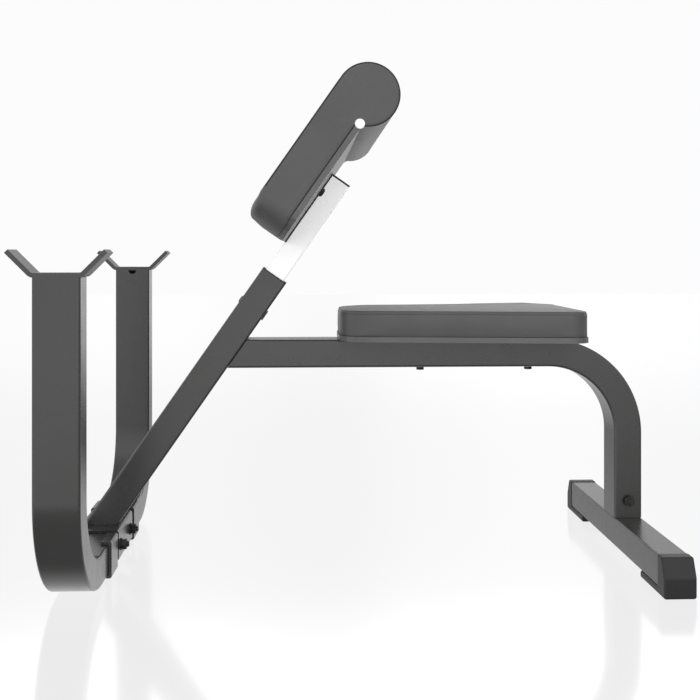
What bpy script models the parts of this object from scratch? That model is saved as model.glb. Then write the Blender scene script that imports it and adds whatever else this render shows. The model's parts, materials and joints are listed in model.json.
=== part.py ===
# Preacher curl bench: a bar rack bent from one tube, a telescoping arm pad post,
# a seat rail that bends down to a rear foot, and two upholstered pads.
# Units are metres. +X runs from the bar rack to the rear foot and +Z is up.
import math

import bmesh
import bpy
from mathutils import Matrix, Vector

MM = 0.001

# Clearance between pieces that touch
GAP = 0.3 * MM

# Frame tube, one section throughout: its broad side and its narrow side
TUBE_BROAD = 70 * MM
TUBE_NARROW = 50 * MM
TUBE_WALL = 2.5 * MM
TUBE_CORNER = 4 * MM
BEND_RADIUS = 145 * MM
BEND_STEPS = 10

# Bar rack, a wide U of tube that stands across the bench
RACK_WIDTH = 754 * MM
RACK_UPRIGHT_TOP = 503.5 * MM
VENT_RADIUS = 8 * MM

# Bar catches, bent plates on the uprights' tops
CATCH_WALL = 7 * MM
CATCH_ARM = 48 * MM
CATCH_ARM_ANGLE = math.radians(45)
CATCH_BEND = 5 * MM

# Foot clips under the rack
CLIP_WALL = 5 * MM
CLIP_LENGTH = 60 * MM
CLIP_CENTRE_Y = 120 * MM
CLIP_LIP = 18 * MM
CLIP_CHAMFER = 2.5 * MM

# Saddle bracket that carries the post on the rack
SADDLE_WALL = 4 * MM
SADDLE_LENGTH = 148 * MM
SADDLE_BOLT_Y = 52 * MM
SADDLE_SIDE_BOLT_Z = 30.5 * MM
SADDLE_TOP_BOLT_X = -24 * MM
SADDLE_FLANGE_END_Z = 9.5 * MM
SADDLE_BEND = 2.8 * MM
SADDLE_BEND_STEP = 0.8 * MM

# Arm pad post: sleeve, sliding post and the clamp through both
POST_ANGLE = math.radians(55.1)
POST_BASE_X = 0.3 * MM
CLAMP_ABOVE_RAIL = 68.9 * MM
SLEEVE_ABOVE_CLAMP = 69 * MM
POST_BROAD = 58 * MM
POST_NARROW = 38 * MM
POST_WALL = 2 * MM
POST_CORNER = 3 * MM
POST_BELOW_CLAMP = 102 * MM
POST_ABOVE_SLEEVE = 206.5 * MM
POST_TRAVEL = 50 * MM
RUNNING_GAP = 0.3 * MM
BUSH_LENGTH = 55 * MM
BUSH_LIP = 1.5 * MM
GLIDE_LENGTH = 12 * MM
PLUG_SPIGOT = 20 * MM
PLUG_WALL = 3.5 * MM
TOP_CAP_WALL = 3 * MM
CLAMP_SHANK = 8 * MM
CLAMP_BOLT_HEAD = 14 * MM
CLAMP_HEAD_HEIGHT = 2.4 * MM
CLAMP_NUT_HEAD = 20 * MM
CLAMP_BARREL = 11 * MM
CLAMP_BARREL_LENGTH = 30 * MM
SLOT_CLEARANCE = 1 * MM

# Wings on the sliding post that carry the arm pad
WING_WALL = 2 * MM
WING_WIDTH = 31 * MM
WING_CORNER = 3 * MM
WING_BOLT_BELOW_TOP = 36.5 * MM
PAD_BOLT_HEAD = 16.5 * MM
PAD_BOLT_HEAD_HEIGHT = 5 * MM
WING_BOLT_Y = 46 * MM

# Arm pad, in the post's frame: s runs up the post, w runs out of its underside
ARM_PAD_WIDTH = 610 * MM
ARM_PAD_BELOW_TOP = 145.5 * MM
ARM_PAD_DEPTH = 69.5 * MM
ARM_BOARD_WALL = 9 * MM
ARM_BOARD_ABOVE_TOP = 63.5 * MM
ARM_PAD_CORNER = 50 * MM
ARM_PAD_CORNER_RISE = 45 * MM
ARM_PAD_END_ROUND = 5 * MM
ARM_PAD_FRONT_ROUND = 14 * MM
ARM_PAD_FRONT_RISE = 34 * MM
ARM_PAD_CROWN = 4 * MM
ROLL_RADIUS = 49.6 * MM
ROLL_ABOVE_TOP = 114.2 * MM
EDGE_PLUG_RADIUS = 8 * MM
EDGE_PLUG_HEIGHT = 3.5 * MM
EDGE_PLUG_SHANK = 4 * MM
EDGE_PLUG_DEPTH = 12 * MM
EDGE_PLUG_TAPER = 1.2 * MM
EDGE_PLUG_ABOVE_TOP = 68.3 * MM
EDGE_PLUG_W = -23.8 * MM

# Seat rail and rear leg, one bent tube
RAIL_TOP = 385.3 * MM
RAIL_START_X = 120 * MM
LEG_X = 943.8 * MM
LEG_BOLT_Z = 93.5 * MM

# Rear foot
FOOT_TUBE_SIDE = 50 * MM
FOOT_TUBE_CORNER = 3 * MM
FOOT_TUBE_LENGTH = 575 * MM
FOOT_CAP_WALL = 1.2 * MM
FOOT_CAP_SOLE = 11.2 * MM
FOOT_CAP_OVERLAP = 19.5 * MM
FOOT_CAP_TONGUE = 104.5 * MM
FOOT_CAP_END_WALL = 15.5 * MM
FOOT_CAP_NOSE_SLOPE = 14 * MM
FOOT_CAP_NOSE_FLAT = 33.3 * MM
FOOT_CAP_EDGE = 1.5 * MM
STUB_HEIGHT = 62 * MM
STUB_WALL = 3 * MM

# Seat
SEAT_FRONT_X = 422.5 * MM
SEAT_LENGTH = 424.5 * MM
SEAT_FRONT_WIDTH = 190 * MM
SEAT_REAR_WIDTH = 292 * MM
SEAT_FRONT_CORNER = 50 * MM
SEAT_REAR_CORNER = 28 * MM
SEAT_BOARD_WALL = 9.5 * MM
SEAT_BOARD_PROUD = 1.8 * MM
SEAT_FOAM_HEIGHT = 45.5 * MM
SEAT_CROWN = 5 * MM
SEAT_EDGE_ROUND = 4 * MM
SEAT_BULGE = 1 * MM
SEAT_FLAT_HALF_WIDTH = 10 * MM
SEAT_BOLT_FROM_FRONT = 148 * MM
SEAT_BOLT_SPACING = 198 * MM

# Fasteners: shank diameter, width across the head's flats and head height
BIG_BOLT = 10 * MM
BIG_FLATS = 16 * MM
BIG_HEAD = 6.4 * MM
BIG_NUT = 8 * MM
BIG_WASHER = 21 * MM
SMALL_BOLT = 8 * MM
SMALL_FLATS = 13 * MM
SMALL_HEAD = 5.3 * MM
SMALL_NUT = 6.5 * MM
SMALL_WASHER = 17 * MM
WASHER_WALL = 1.8 * MM
BOLT_END = 4 * MM
HOLE_CLEARANCE = 1 * MM
TEE_NUT_FLANGE = 20 * MM
TEE_NUT_FLANGE_WALL = 1.4 * MM
TEE_NUT_BARREL = 10.5 * MM

# Values worked out from the sizes above
RACK_LIFT = CLIP_WALL + GAP
RACK_TUBE_TOP = RACK_LIFT + TUBE_NARROW
SADDLE_TOP = RACK_TUBE_TOP + GAP + SADDLE_WALL
POST_BASE_Z = SADDLE_TOP + GAP
RAIL_CENTRE_Z = RAIL_TOP - TUBE_NARROW / 2
RAIL_TOP_S = (RAIL_TOP - POST_BASE_Z) / math.sin(POST_ANGLE)
CLAMP_S = RAIL_TOP_S + CLAMP_ABOVE_RAIL
SLEEVE_TOP = CLAMP_S + SLEEVE_ABOVE_CLAMP
POST_BOTTOM = CLAMP_S - POST_BELOW_CLAMP
POST_TOP = SLEEVE_TOP + POST_ABOVE_SLEEVE
ARM_PAD_BOTTOM = POST_TOP - ARM_PAD_BELOW_TOP
ARM_BOARD_TOP = POST_TOP + ARM_BOARD_ABOVE_TOP
WING_BOLT_S = POST_TOP - WING_BOLT_BELOW_TOP
ROLL_CENTRE_S = POST_TOP + ROLL_ABOVE_TOP
EDGE_PLUG_S = POST_TOP + EDGE_PLUG_ABOVE_TOP
FOOT_TUBE_BOTTOM = FOOT_CAP_SOLE + GAP
FOOT_TUBE_TOP = FOOT_TUBE_BOTTOM + FOOT_TUBE_SIDE
LEG_BOTTOM = FOOT_TUBE_TOP + GAP
CATCH_ARM_X = TUBE_BROAD / 2 + CATCH_ARM * math.cos(CATCH_ARM_ANGLE)
CATCH_TIP_X = CATCH_ARM_X + CATCH_WALL * math.sin(CATCH_ARM_ANGLE)
FOOT_CAP_HALF = FOOT_TUBE_SIDE / 2 + FOOT_CAP_WALL
FOOT_CAP_START_Y = FOOT_TUBE_LENGTH / 2 - FOOT_CAP_OVERLAP
FOOT_CAP_TONGUE_Y = FOOT_TUBE_LENGTH / 2 - FOOT_CAP_TONGUE
FOOT_CAP_NOSE_Y = FOOT_TUBE_LENGTH / 2 + FOOT_CAP_END_WALL
REAR_END_X = LEG_X + FOOT_CAP_HALF
# Halfway from the catches' tips to the rear foot's caps
CENTRE_X = (REAR_END_X - CATCH_TIP_X) / 2
BOARD_BACK_W = -(POST_NARROW / 2 + GAP)
BOARD_FRONT_W = BOARD_BACK_W - ARM_BOARD_WALL
FOAM_BACK_W = BOARD_FRONT_W - GAP
FOAM_FRONT_W = BOARD_BACK_W - ARM_PAD_DEPTH
ROLL_CENTRE_W = FOAM_FRONT_W + ROLL_RADIUS
SEAT_BOARD_BOTTOM = RAIL_TOP + GAP
SEAT_BOARD_TOP = SEAT_BOARD_BOTTOM + SEAT_BOARD_WALL
SEAT_FOAM_BOTTOM = SEAT_BOARD_TOP + GAP
SEAT_BOLT_X = {
    "front": SEAT_FRONT_X + SEAT_BOLT_FROM_FRONT,
    "rear": SEAT_FRONT_X + SEAT_BOLT_FROM_FRONT + SEAT_BOLT_SPACING,
}
BIG_HOLE = BIG_BOLT + HOLE_CLEARANCE
SMALL_HOLE = SMALL_BOLT + HOLE_CLEARANCE
SLEEVE_BORE_X = TUBE_NARROW - 2 * TUBE_WALL - 2 * GAP
SLEEVE_BORE_Y = TUBE_BROAD - 2 * TUBE_WALL - 2 * GAP

ROUND_SIDES = 20
SHANK_SIDES = 12
SIDES = ((-1, "left"), (1, "right"))

# Turns that point a fastener's Z axis along the bench, across it or down
Z_TO_FRONT = Matrix.Rotation(math.radians(90), 4, "Y")
Z_TO_BACK = Matrix.Rotation(math.radians(-90), 4, "Y")
Z_TO_FAR = Matrix.Rotation(math.radians(-90), 4, "X")
Z_TO_NEAR = Matrix.Rotation(math.radians(90), 4, "X")
Z_DOWN = Matrix.Rotation(math.radians(180), 4, "X")


def clear_scene():
    for old in list(bpy.data.objects):
        bpy.data.objects.remove(old, do_unlink=True)


def new_collection(name):
    collection = bpy.data.collections.new(name)
    bpy.context.scene.collection.children.link(collection)
    return collection


def new_empty(name, parent, matrix):
    empty = bpy.data.objects.new(name, None)
    PARTS.objects.link(empty)
    empty.parent = parent
    empty.matrix_basis = matrix
    return empty


def new_material(name, colour, roughness, metallic=0.0):
    made = bpy.data.materials.new(name)
    made.use_nodes = True
    shader = made.node_tree.nodes["Principled BSDF"]
    shader.inputs["Base Color"].default_value = (*colour, 1.0)
    shader.inputs["Roughness"].default_value = roughness
    shader.inputs["Metallic"].default_value = metallic
    made.diffuse_color = (*colour, 1.0)
    return made


def rounded_rectangle(width, height, radius, steps=3):
    """Points of a rounded rectangle about the origin, anticlockwise."""
    points = []
    for corner in range(4):
        sign_x = 1 if corner in (0, 3) else -1
        sign_y = 1 if corner in (0, 1) else -1
        for step in range(steps + 1):
            turn = math.radians(90) * (corner + step / steps)
            x = sign_x * (width / 2 - radius) + radius * math.cos(turn)
            y = sign_y * (height / 2 - radius) + radius * math.sin(turn)
            points.append((x, y))
    return points


def shifted(points, across, along):
    return [(x + across, y + along) for x, y in points]


def circle(radius, sides=ROUND_SIDES):
    turns = [2 * math.pi * (k + 0.5) / sides for k in range(sides)]
    return [(radius * math.cos(turn), radius * math.sin(turn)) for turn in turns]


def mesh_from(obj):
    """The evaluated mesh of an object, with its loose caps welded."""
    graph = bpy.context.evaluated_depsgraph_get()
    mesh = bpy.data.meshes.new_from_object(obj.evaluated_get(graph))
    shape = bmesh.new()
    shape.from_mesh(mesh)
    bmesh.ops.remove_doubles(shape, verts=shape.verts, dist=1e-6)
    bmesh.ops.recalc_face_normals(shape, faces=shape.faces)
    shape.to_mesh(mesh)
    shape.free()
    return mesh


AXIS_TURNS = {
    "Z": Matrix.Identity(4),
    "Y": Matrix.Rotation(math.radians(90), 4, "X"),
    "X": Matrix(((0, 0, 1, 0), (1, 0, 0, 0), (0, 1, 0, 0), (0, 0, 0, 1))),
}


def along(mesh, low, high, axis):
    """Turns a mesh that is centred on the Z axis along another one, from low to high."""
    middle = (low + high) / 2
    offsets = {"X": (middle, 0, 0), "Y": (0, middle, 0), "Z": (0, 0, middle)}
    mesh.transform(AXIS_TURNS[axis])
    mesh.transform(Matrix.Translation(offsets[axis]))
    return mesh


def disc(radius, low, high, axis, sides=ROUND_SIDES, taper=0.0):
    """A cylinder on an axis, or a hexagon where it has six sides."""
    shape = bmesh.new()
    bmesh.ops.create_cone(
        shape, cap_ends=True, segments=sides, radius1=radius, radius2=radius - taper,
        depth=high - low)
    mesh = bpy.data.meshes.new("cylinder")
    shape.to_mesh(mesh)
    shape.free()
    return along(mesh, low, high, axis)


def hexagon(flats, low, high):
    return disc(flats / math.sqrt(3), low, high, "Z", 6)


def prism_mesh(loops, low, high, axis):
    """Flat outline, with any holes in it, extruded from low to high along an axis.

    Its two coordinates are X and Y for axis Z, X and Z for axis Y, Y and Z for axis X.
    """
    curve = bpy.data.curves.new("outline", "CURVE")
    curve.dimensions = "2D"
    curve.fill_mode = "BOTH"
    curve.extrude = (high - low) / 2
    for loop in loops:
        spline = curve.splines.new("POLY")
        spline.points.add(len(loop) - 1)
        for point, (x, y) in zip(spline.points, loop):
            point.co = (x, y, 0, 1)
        spline.use_cyclic_u = True
    guide = bpy.data.objects.new("outline", curve)
    bpy.context.scene.collection.objects.link(guide)
    mesh = mesh_from(guide)
    bpy.data.objects.remove(guide, do_unlink=True)
    return along(mesh, low, high, axis)


def add_part(name, mesh, colour, parent, place=None):
    mesh.name = name
    part = bpy.data.objects.new(name, mesh)
    part.parent = parent
    if place is not None:
        part.matrix_basis = place
    mesh.materials.clear()
    mesh.materials.append(colour)
    PARTS.objects.link(part)
    mesh.shade_smooth()
    mesh.set_sharp_from_angle(angle=math.radians(35))
    return part


def add_tool(name, mesh, parent):
    """A solid that only shapes its neighbours, and isn't a piece of the bench."""
    tool = bpy.data.objects.new(name, mesh)
    tool.parent = parent
    tool.hide_render = True
    tool.display_type = "WIRE"
    CUTTERS.objects.link(tool)
    return tool


def combine(part, mesh, operation):
    tool = add_tool(part.name + "_tool", mesh, part.parent)
    tool.matrix_basis = part.matrix_basis
    step = part.modifiers.new(operation.lower(), "BOOLEAN")
    step.operation = operation
    step.object = tool


def cut(part, mesh):
    combine(part, mesh, "DIFFERENCE")


def joined_mesh(meshes):
    """Several solids that don't touch, as one mesh."""
    shape = bmesh.new()
    for mesh in meshes:
        shape.from_mesh(mesh)
    result = bpy.data.meshes.new("group")
    shape.to_mesh(result)
    shape.free()
    return result


def placed(mesh, matrix):
    copy = mesh.copy()
    copy.transform(matrix)
    return copy


def at(x, y, z):
    return Matrix.Translation((x, y, z))


def union_mesh(first, second):
    """One solid from two that overlap."""
    body = add_tool("union_body", first, None)
    other = add_tool("union_other", second, None)
    step = body.modifiers.new("union", "BOOLEAN")
    step.operation = "UNION"
    step.object = other
    mesh = mesh_from(body)
    bpy.data.objects.remove(body, do_unlink=True)
    bpy.data.objects.remove(other, do_unlink=True)
    return mesh


def headed(head, head_height, diameter, length):
    """A bolt whose head sits on z = 0 and whose shank runs down to -length."""
    shank = disc(diameter / 2, -length, head_height / 2, "Z", SHANK_SIDES)
    return union_mesh(head, shank)


def hex_bolt(diameter, flats, head_height, length):
    return headed(hexagon(flats, 0, head_height), head_height, diameter, length)


def ring(outer, inner, low, high):
    return prism_mesh([circle(outer), circle(inner)], low, high, "Z")


def hex_nut(diameter, flats, height):
    bore = circle(diameter / 2 + GAP, SHANK_SIDES)
    return prism_mesh([circle(flats / math.sqrt(3), 6), bore], 0, height, "Z")


def tee_nut(bore, barrel_length):
    """Flange on z = 0, facing up, with its barrel hanging below."""
    flange = disc(TEE_NUT_FLANGE / 2, -TEE_NUT_FLANGE_WALL, 0, "Z")
    barrel = disc(TEE_NUT_BARREL / 2, -barrel_length, -TEE_NUT_FLANGE_WALL / 2, "Z", SHANK_SIDES)
    nut = add_tool("nut_body", union_mesh(flange, barrel), None)
    reach = 2 * barrel_length
    combine(nut, disc(bore / 2 + GAP, -reach, reach, "Z", SHANK_SIDES), "DIFFERENCE")
    mesh = mesh_from(nut)
    bpy.data.objects.remove(nut.modifiers[0].object, do_unlink=True)
    bpy.data.objects.remove(nut, do_unlink=True)
    return mesh


def tee_nut_seat(barrel_length):
    """The stepped hole that a tee nut fills, with its clearance."""
    flange_low = -TEE_NUT_FLANGE_WALL - GAP
    flange = disc(TEE_NUT_FLANGE / 2 + GAP, flange_low, TEE_NUT_FLANGE_WALL, "Z")
    barrel = disc(TEE_NUT_BARREL / 2 + GAP, -2 * barrel_length, 0, "Z", SHANK_SIDES)
    return union_mesh(flange, barrel)


def grow_tube(outline, start, moves):
    """Surface of a tube: an outline carried through straight runs and bends.

    A move is (offset,) for a straight run or (centre, axis, angle) for a bend.
    """
    shape = bmesh.new()
    verts = [shape.verts.new(start @ Vector((x, y, 0))) for x, y in outline]
    edges = [shape.edges.new((verts[k - 1], verts[k])) for k in range(len(verts))]
    for move in moves:
        if len(move) == 1:
            grown = bmesh.ops.extrude_edge_only(shape, edges=edges)["geom"]
            ends = [item for item in grown if isinstance(item, bmesh.types.BMVert)]
            bmesh.ops.translate(shape, verts=ends, vec=move[0])
        else:
            centre, axis, angle = move
            grown = bmesh.ops.spin(
                shape, geom=verts + edges, cent=centre, axis=axis, angle=angle,
                steps=BEND_STEPS, use_duplicate=False,
            )["geom_last"]
        verts = [item for item in grown if isinstance(item, bmesh.types.BMVert)]
        loose = [item for item in grown if isinstance(item, bmesh.types.BMEdge)]
        edges = [edge for edge in loose if edge.is_boundary]
    bmesh.ops.recalc_face_normals(shape, faces=shape.faces)
    shape.faces.ensure_lookup_table()
    first = shape.faces[0]
    outward = first.calc_center_median() - start.translation
    if first.normal.dot(outward) < 0:
        bmesh.ops.reverse_faces(shape, faces=shape.faces)
    mesh = bpy.data.meshes.new("tube")
    shape.to_mesh(mesh)
    shape.free()
    return mesh


def make_hollow(part, wall):
    step = part.modifiers.new("wall", "SOLIDIFY")
    step.thickness = wall
    step.offset = -1
    step.use_even_offset = True


def straight_tube_mesh(width, height, corner, wall, low, high, axis):
    outer = rounded_rectangle(width, height, corner)
    inner = rounded_rectangle(width - 2 * wall, height - 2 * wall, corner - wall / 2)
    return prism_mesh([outer, inner], low, high, axis)


def loft_mesh(rings):
    """Skin through closed rings of equal length, with flat ends."""
    shape = bmesh.new()
    rows = [[shape.verts.new(point) for point in points] for points in rings]
    for low, high in zip(rows, rows[1:]):
        for k in range(len(low)):
            shape.faces.new((low[k - 1], low[k], high[k], high[k - 1]))
    shape.faces.new(rows[0])
    shape.faces.new(rows[-1])
    bmesh.ops.recalc_face_normals(shape, faces=shape.faces)
    mesh = bpy.data.meshes.new("loft")
    shape.to_mesh(mesh)
    shape.free()
    return mesh


def make_rack(parent):
    """The U tube: down one side, across the floor and up the other."""
    narrow_half = TUBE_NARROW / 2
    upright_y = RACK_WIDTH / 2 - narrow_half
    floor_z = RACK_LIFT + narrow_half
    bend_z = floor_z + BEND_RADIUS
    bend_y = upright_y - BEND_RADIUS
    upright = RACK_UPRIGHT_TOP - bend_z
    outline = rounded_rectangle(TUBE_BROAD, TUBE_NARROW, TUBE_CORNER)
    quarter = math.radians(90)
    moves = [
        (Vector((0, 0, -upright)),),
        (Vector((0, -bend_y, bend_z)), Vector((1, 0, 0)), quarter),
        (Vector((0, 2 * bend_y, 0)),),
        (Vector((0, bend_y, bend_z)), Vector((1, 0, 0)), quarter),
        (Vector((0, 0, upright)),),
    ]
    mesh = grow_tube(outline, at(0, -upright_y, RACK_UPRIGHT_TOP), moves)
    rack = add_part("rack_tube", mesh, FRAME_PAINT, parent)
    make_hollow(rack, TUBE_WALL)
    holes = []
    side_hole = BIG_HOLE / 2
    top_hole = SMALL_HOLE / 2
    reach = TUBE_BROAD
    inner_face = RACK_WIDTH / 2 - TUBE_NARROW
    for side in (-1, 1):
        y = side * SADDLE_BOLT_Y
        holes.append(placed(disc(side_hole, -reach, reach, "X"), at(0, y, SADDLE_SIDE_BOLT_Z)))
        top = disc(top_hole, RACK_TUBE_TOP - 2 * TUBE_WALL, RACK_TUBE_TOP + TUBE_WALL, "Z")
        holes.append(placed(top, at(SADDLE_TOP_BOLT_X, y, 0)))
        vent = disc(VENT_RADIUS, -TUBE_WALL * 2, TUBE_WALL * 2, "Y")
        holes.append(placed(vent, at(0, side * inner_face, RACK_UPRIGHT_TOP)))
    cut(rack, joined_mesh(holes))


def catch_outline():
    """Side view of a catch: a flat with an arm bent up at each end."""
    half = TUBE_BROAD / 2
    base = RACK_UPRIGHT_TOP + GAP
    turn = CATCH_ARM_ANGLE
    steps = 4
    inner_radius = CATCH_BEND
    outer_radius = CATCH_BEND + CATCH_WALL
    tangent = inner_radius * math.tan(turn / 2)
    centre_x = half - tangent
    centre_z = base + CATCH_WALL + inner_radius
    right_inner = []
    right_outer = []
    for step in range(steps + 1):
        a = turn * step / steps
        right_inner.append((centre_x + inner_radius * math.sin(a), centre_z - inner_radius * math.cos(a)))
        right_outer.append((centre_x + outer_radius * math.sin(a), centre_z - outer_radius * math.cos(a)))
    arm = CATCH_ARM - tangent
    run = (arm * math.cos(turn), arm * math.sin(turn))
    right_inner.append((right_inner[-1][0] + run[0], right_inner[-1][1] + run[1]))
    right_outer.append((right_outer[-1][0] + run[0], right_outer[-1][1] + run[1]))
    right = right_outer + right_inner[::-1]
    left = [(-x, z) for x, z in right[::-1]]
    return right + left


def make_catches(parent):
    outer = RACK_WIDTH / 2
    for side, word in SIDES:
        low, high = sorted((side * outer, side * (outer - TUBE_NARROW)))
        mesh = prism_mesh([catch_outline()], low, high, "Y")
        add_part("bar_catch_" + word, mesh, FRAME_PAINT, parent)


def clip_outline():
    """Cross-section of a foot clip: a channel whose lips hook over the tube."""
    inner_x = TUBE_BROAD / 2 + GAP
    outer_x = inner_x + CLIP_WALL
    inner_top = RACK_TUBE_TOP + GAP
    outer_top = inner_top + CLIP_WALL
    lip_x = outer_x - CLIP_LIP
    chamfer = CLIP_CHAMFER
    right = [
        (outer_x - chamfer, 0),
        (outer_x, chamfer),
        (outer_x, outer_top - chamfer),
        (outer_x - chamfer, outer_top),
        (lip_x, outer_top),
        (lip_x, inner_top),
        (inner_x, inner_top),
        (inner_x, CLIP_WALL),
    ]
    left = [(-x, z) for x, z in right[::-1]]
    return right + left


def make_foot_clips(parent):
    mesh = prism_mesh([clip_outline()], -CLIP_LENGTH / 2, CLIP_LENGTH / 2, "Y")
    for side, word in SIDES:
        place = at(0, side * CLIP_CENTRE_Y, 0)
        add_part("rack_foot_clip_" + word, mesh, FRAME_PAINT, parent, place)


def make_saddle(parent):
    """Angle bracket over the rack's top and front."""
    inner_x = TUBE_BROAD / 2 + GAP
    outer_x = inner_x + SADDLE_WALL
    inner_z = RACK_TUBE_TOP + GAP
    bend = SADDLE_BEND
    step = SADDLE_BEND_STEP
    outline = [
        (-TUBE_BROAD / 2, inner_z),
        (inner_x, inner_z),
        (inner_x, SADDLE_FLANGE_END_Z),
        (outer_x, SADDLE_FLANGE_END_Z),
        (outer_x, SADDLE_TOP - bend),
        (outer_x - step, SADDLE_TOP - step),
        (outer_x - bend, SADDLE_TOP),
        (-TUBE_BROAD / 2, SADDLE_TOP),
    ]
    half = SADDLE_LENGTH / 2
    saddle = add_part("post_saddle", prism_mesh([outline], -half, half, "Y"), FRAME_PAINT, parent)
    side_hole = disc(BIG_HOLE / 2, 0, TUBE_BROAD, "X")
    top_hole = disc(SMALL_HOLE / 2, RACK_TUBE_TOP, SADDLE_TOP + SADDLE_WALL, "Z")
    holes = []
    for side, _ in SIDES:
        y = side * SADDLE_BOLT_Y
        holes.append(placed(side_hole, at(0, y, SADDLE_SIDE_BOLT_Z)))
        holes.append(placed(top_hole, at(SADDLE_TOP_BOLT_X, y, 0)))
    cut(saddle, joined_mesh(holes))


def make_saddle_bolts(parent):
    """Two bolts through the rack tube, and two down into nuts inside it."""
    back_x = -TUBE_BROAD / 2 - GAP
    front_x = TUBE_BROAD / 2 + GAP + SADDLE_WALL + GAP
    nut_x = front_x + WASHER_WALL + GAP
    length = nut_x + BIG_NUT + BOLT_END - back_x
    bolt = hex_bolt(BIG_BOLT, BIG_FLATS, BIG_HEAD, length)
    washer = ring(BIG_WASHER / 2, BIG_BOLT / 2 + GAP, 0, WASHER_WALL)
    nut = hex_nut(BIG_BOLT, BIG_FLATS, BIG_NUT)
    for side, word in SIDES:
        y = side * SADDLE_BOLT_Y
        z = SADDLE_SIDE_BOLT_Z
        bolt_place = at(back_x, y, z) @ Z_TO_BACK
        washer_place = at(front_x, y, z) @ Z_TO_FRONT
        nut_place = at(nut_x, y, z) @ Z_TO_FRONT
        add_part("saddle_side_bolt_" + word, bolt, BLACK_STEEL, parent, bolt_place)
        add_part("saddle_side_washer_" + word, washer, BLACK_STEEL, parent, washer_place)
        add_part("saddle_side_nut_" + word, nut, BLACK_STEEL, parent, nut_place)

    head_z = SADDLE_TOP + GAP
    nut_top = RACK_TUBE_TOP - TUBE_WALL - GAP
    length = head_z - nut_top + SMALL_NUT + BOLT_END
    bolt = hex_bolt(SMALL_BOLT, SMALL_FLATS, SMALL_HEAD, length)
    nut = hex_nut(SMALL_BOLT, SMALL_FLATS, SMALL_NUT)
    for side, word in SIDES:
        x = SADDLE_TOP_BOLT_X
        y = side * SADDLE_BOLT_Y
        add_part("saddle_top_bolt_" + word, bolt, BLACK_STEEL, parent, at(x, y, head_z))
        add_part("saddle_top_nut_" + word, nut, BLACK_STEEL, parent, at(x, y, nut_top - SMALL_NUT))


def make_sleeve(post):
    """Outer tube of the post, cut level at its foot and drilled for the clamp."""
    mesh = straight_tube_mesh(
        TUBE_NARROW, TUBE_BROAD, TUBE_CORNER, TUBE_WALL, -TUBE_NARROW, SLEEVE_TOP, "Z")
    sleeve = add_part("post_sleeve", mesh, FRAME_PAINT, post)
    level = Matrix.Rotation(math.radians(90) - POST_ANGLE, 4, "Y").inverted()
    side = 4 * TUBE_BROAD
    block = prism_mesh([rounded_rectangle(side, side, TUBE_CORNER)], -TUBE_BROAD, 0, "Z")
    cut(sleeve, placed(block, level))
    nut_hole = disc((CLAMP_BARREL + HOLE_CLEARANCE) / 2, 0, TUBE_BROAD, "X")
    bolt_hole = disc((CLAMP_SHANK + HOLE_CLEARANCE) / 2, -TUBE_BROAD, -TUBE_NARROW / 4, "X")
    cut(sleeve, placed(joined_mesh([nut_hole, bolt_hole]), at(0, 0, CLAMP_S)))


def make_bush(post):
    """Plastic liner in the sleeve's mouth, which the sliding post runs through."""
    bore = rounded_rectangle(
        POST_NARROW + 2 * RUNNING_GAP, POST_BROAD + 2 * RUNNING_GAP, POST_CORNER)
    body = prism_mesh(
        [rounded_rectangle(SLEEVE_BORE_X, SLEEVE_BORE_Y, TUBE_WALL), bore],
        SLEEVE_TOP - BUSH_LENGTH, SLEEVE_TOP + GAP + BUSH_LIP / 2, "Z")
    lip = prism_mesh(
        [rounded_rectangle(TUBE_NARROW, TUBE_BROAD, TUBE_CORNER), bore],
        SLEEVE_TOP + GAP, SLEEVE_TOP + GAP + BUSH_LIP, "Z")
    add_part("sleeve_bush", union_mesh(body, lip), BLACK_PLASTIC, post)


def make_clamp(post):
    """Through bolt and barrel nut that pinch the sleeve on the post."""
    face = TUBE_NARROW / 2 + GAP
    centre = at(0, 0, CLAMP_S)
    head = disc(CLAMP_BOLT_HEAD / 2, 0, CLAMP_HEAD_HEIGHT, "Z")
    bolt = headed(head, CLAMP_HEAD_HEIGHT, CLAMP_SHANK, 2 * face - CLAMP_HEAD_HEIGHT)
    add_part("clamp_bolt", bolt, BLACK_STEEL, post, centre @ at(-face, 0, 0) @ Z_TO_BACK)
    head = disc(CLAMP_NUT_HEAD / 2, 0, CLAMP_HEAD_HEIGHT, "Z")
    nut = headed(head, CLAMP_HEAD_HEIGHT, CLAMP_BARREL, CLAMP_BARREL_LENGTH)
    barrel_nut = add_part(
        "clamp_barrel_nut", nut, BLACK_STEEL, post, centre @ at(face, 0, 0) @ Z_TO_FRONT)
    cut(barrel_nut, disc(CLAMP_SHANK / 2 + GAP, -2 * CLAMP_BARREL_LENGTH, 0, "Z", SHANK_SIDES))


def make_sliding_post(slide):
    mesh = straight_tube_mesh(
        POST_NARROW, POST_BROAD, POST_CORNER, POST_WALL, POST_BOTTOM, POST_TOP, "Z")
    post = add_part("pad_post", mesh, WHITE_PAINT, slide)
    slot_width = CLAMP_BARREL + SLOT_CLEARANCE
    slot_length = 2 * POST_TRAVEL + slot_width + SLOT_CLEARANCE
    slot = rounded_rectangle(slot_width, slot_length, slot_width / 2 - GAP, 6)
    cut(post, prism_mesh([shifted(slot, 0, CLAMP_S)], -TUBE_NARROW, TUBE_NARROW, "X"))


def plug_spigot(low, high):
    """Thin-walled stub of a plastic plug, a push fit inside the sliding post."""
    return straight_tube_mesh(
        POST_NARROW - 2 * POST_WALL - 2 * GAP, POST_BROAD - 2 * POST_WALL - 2 * GAP,
        POST_CORNER, PLUG_WALL, low, high, "Z")


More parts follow.
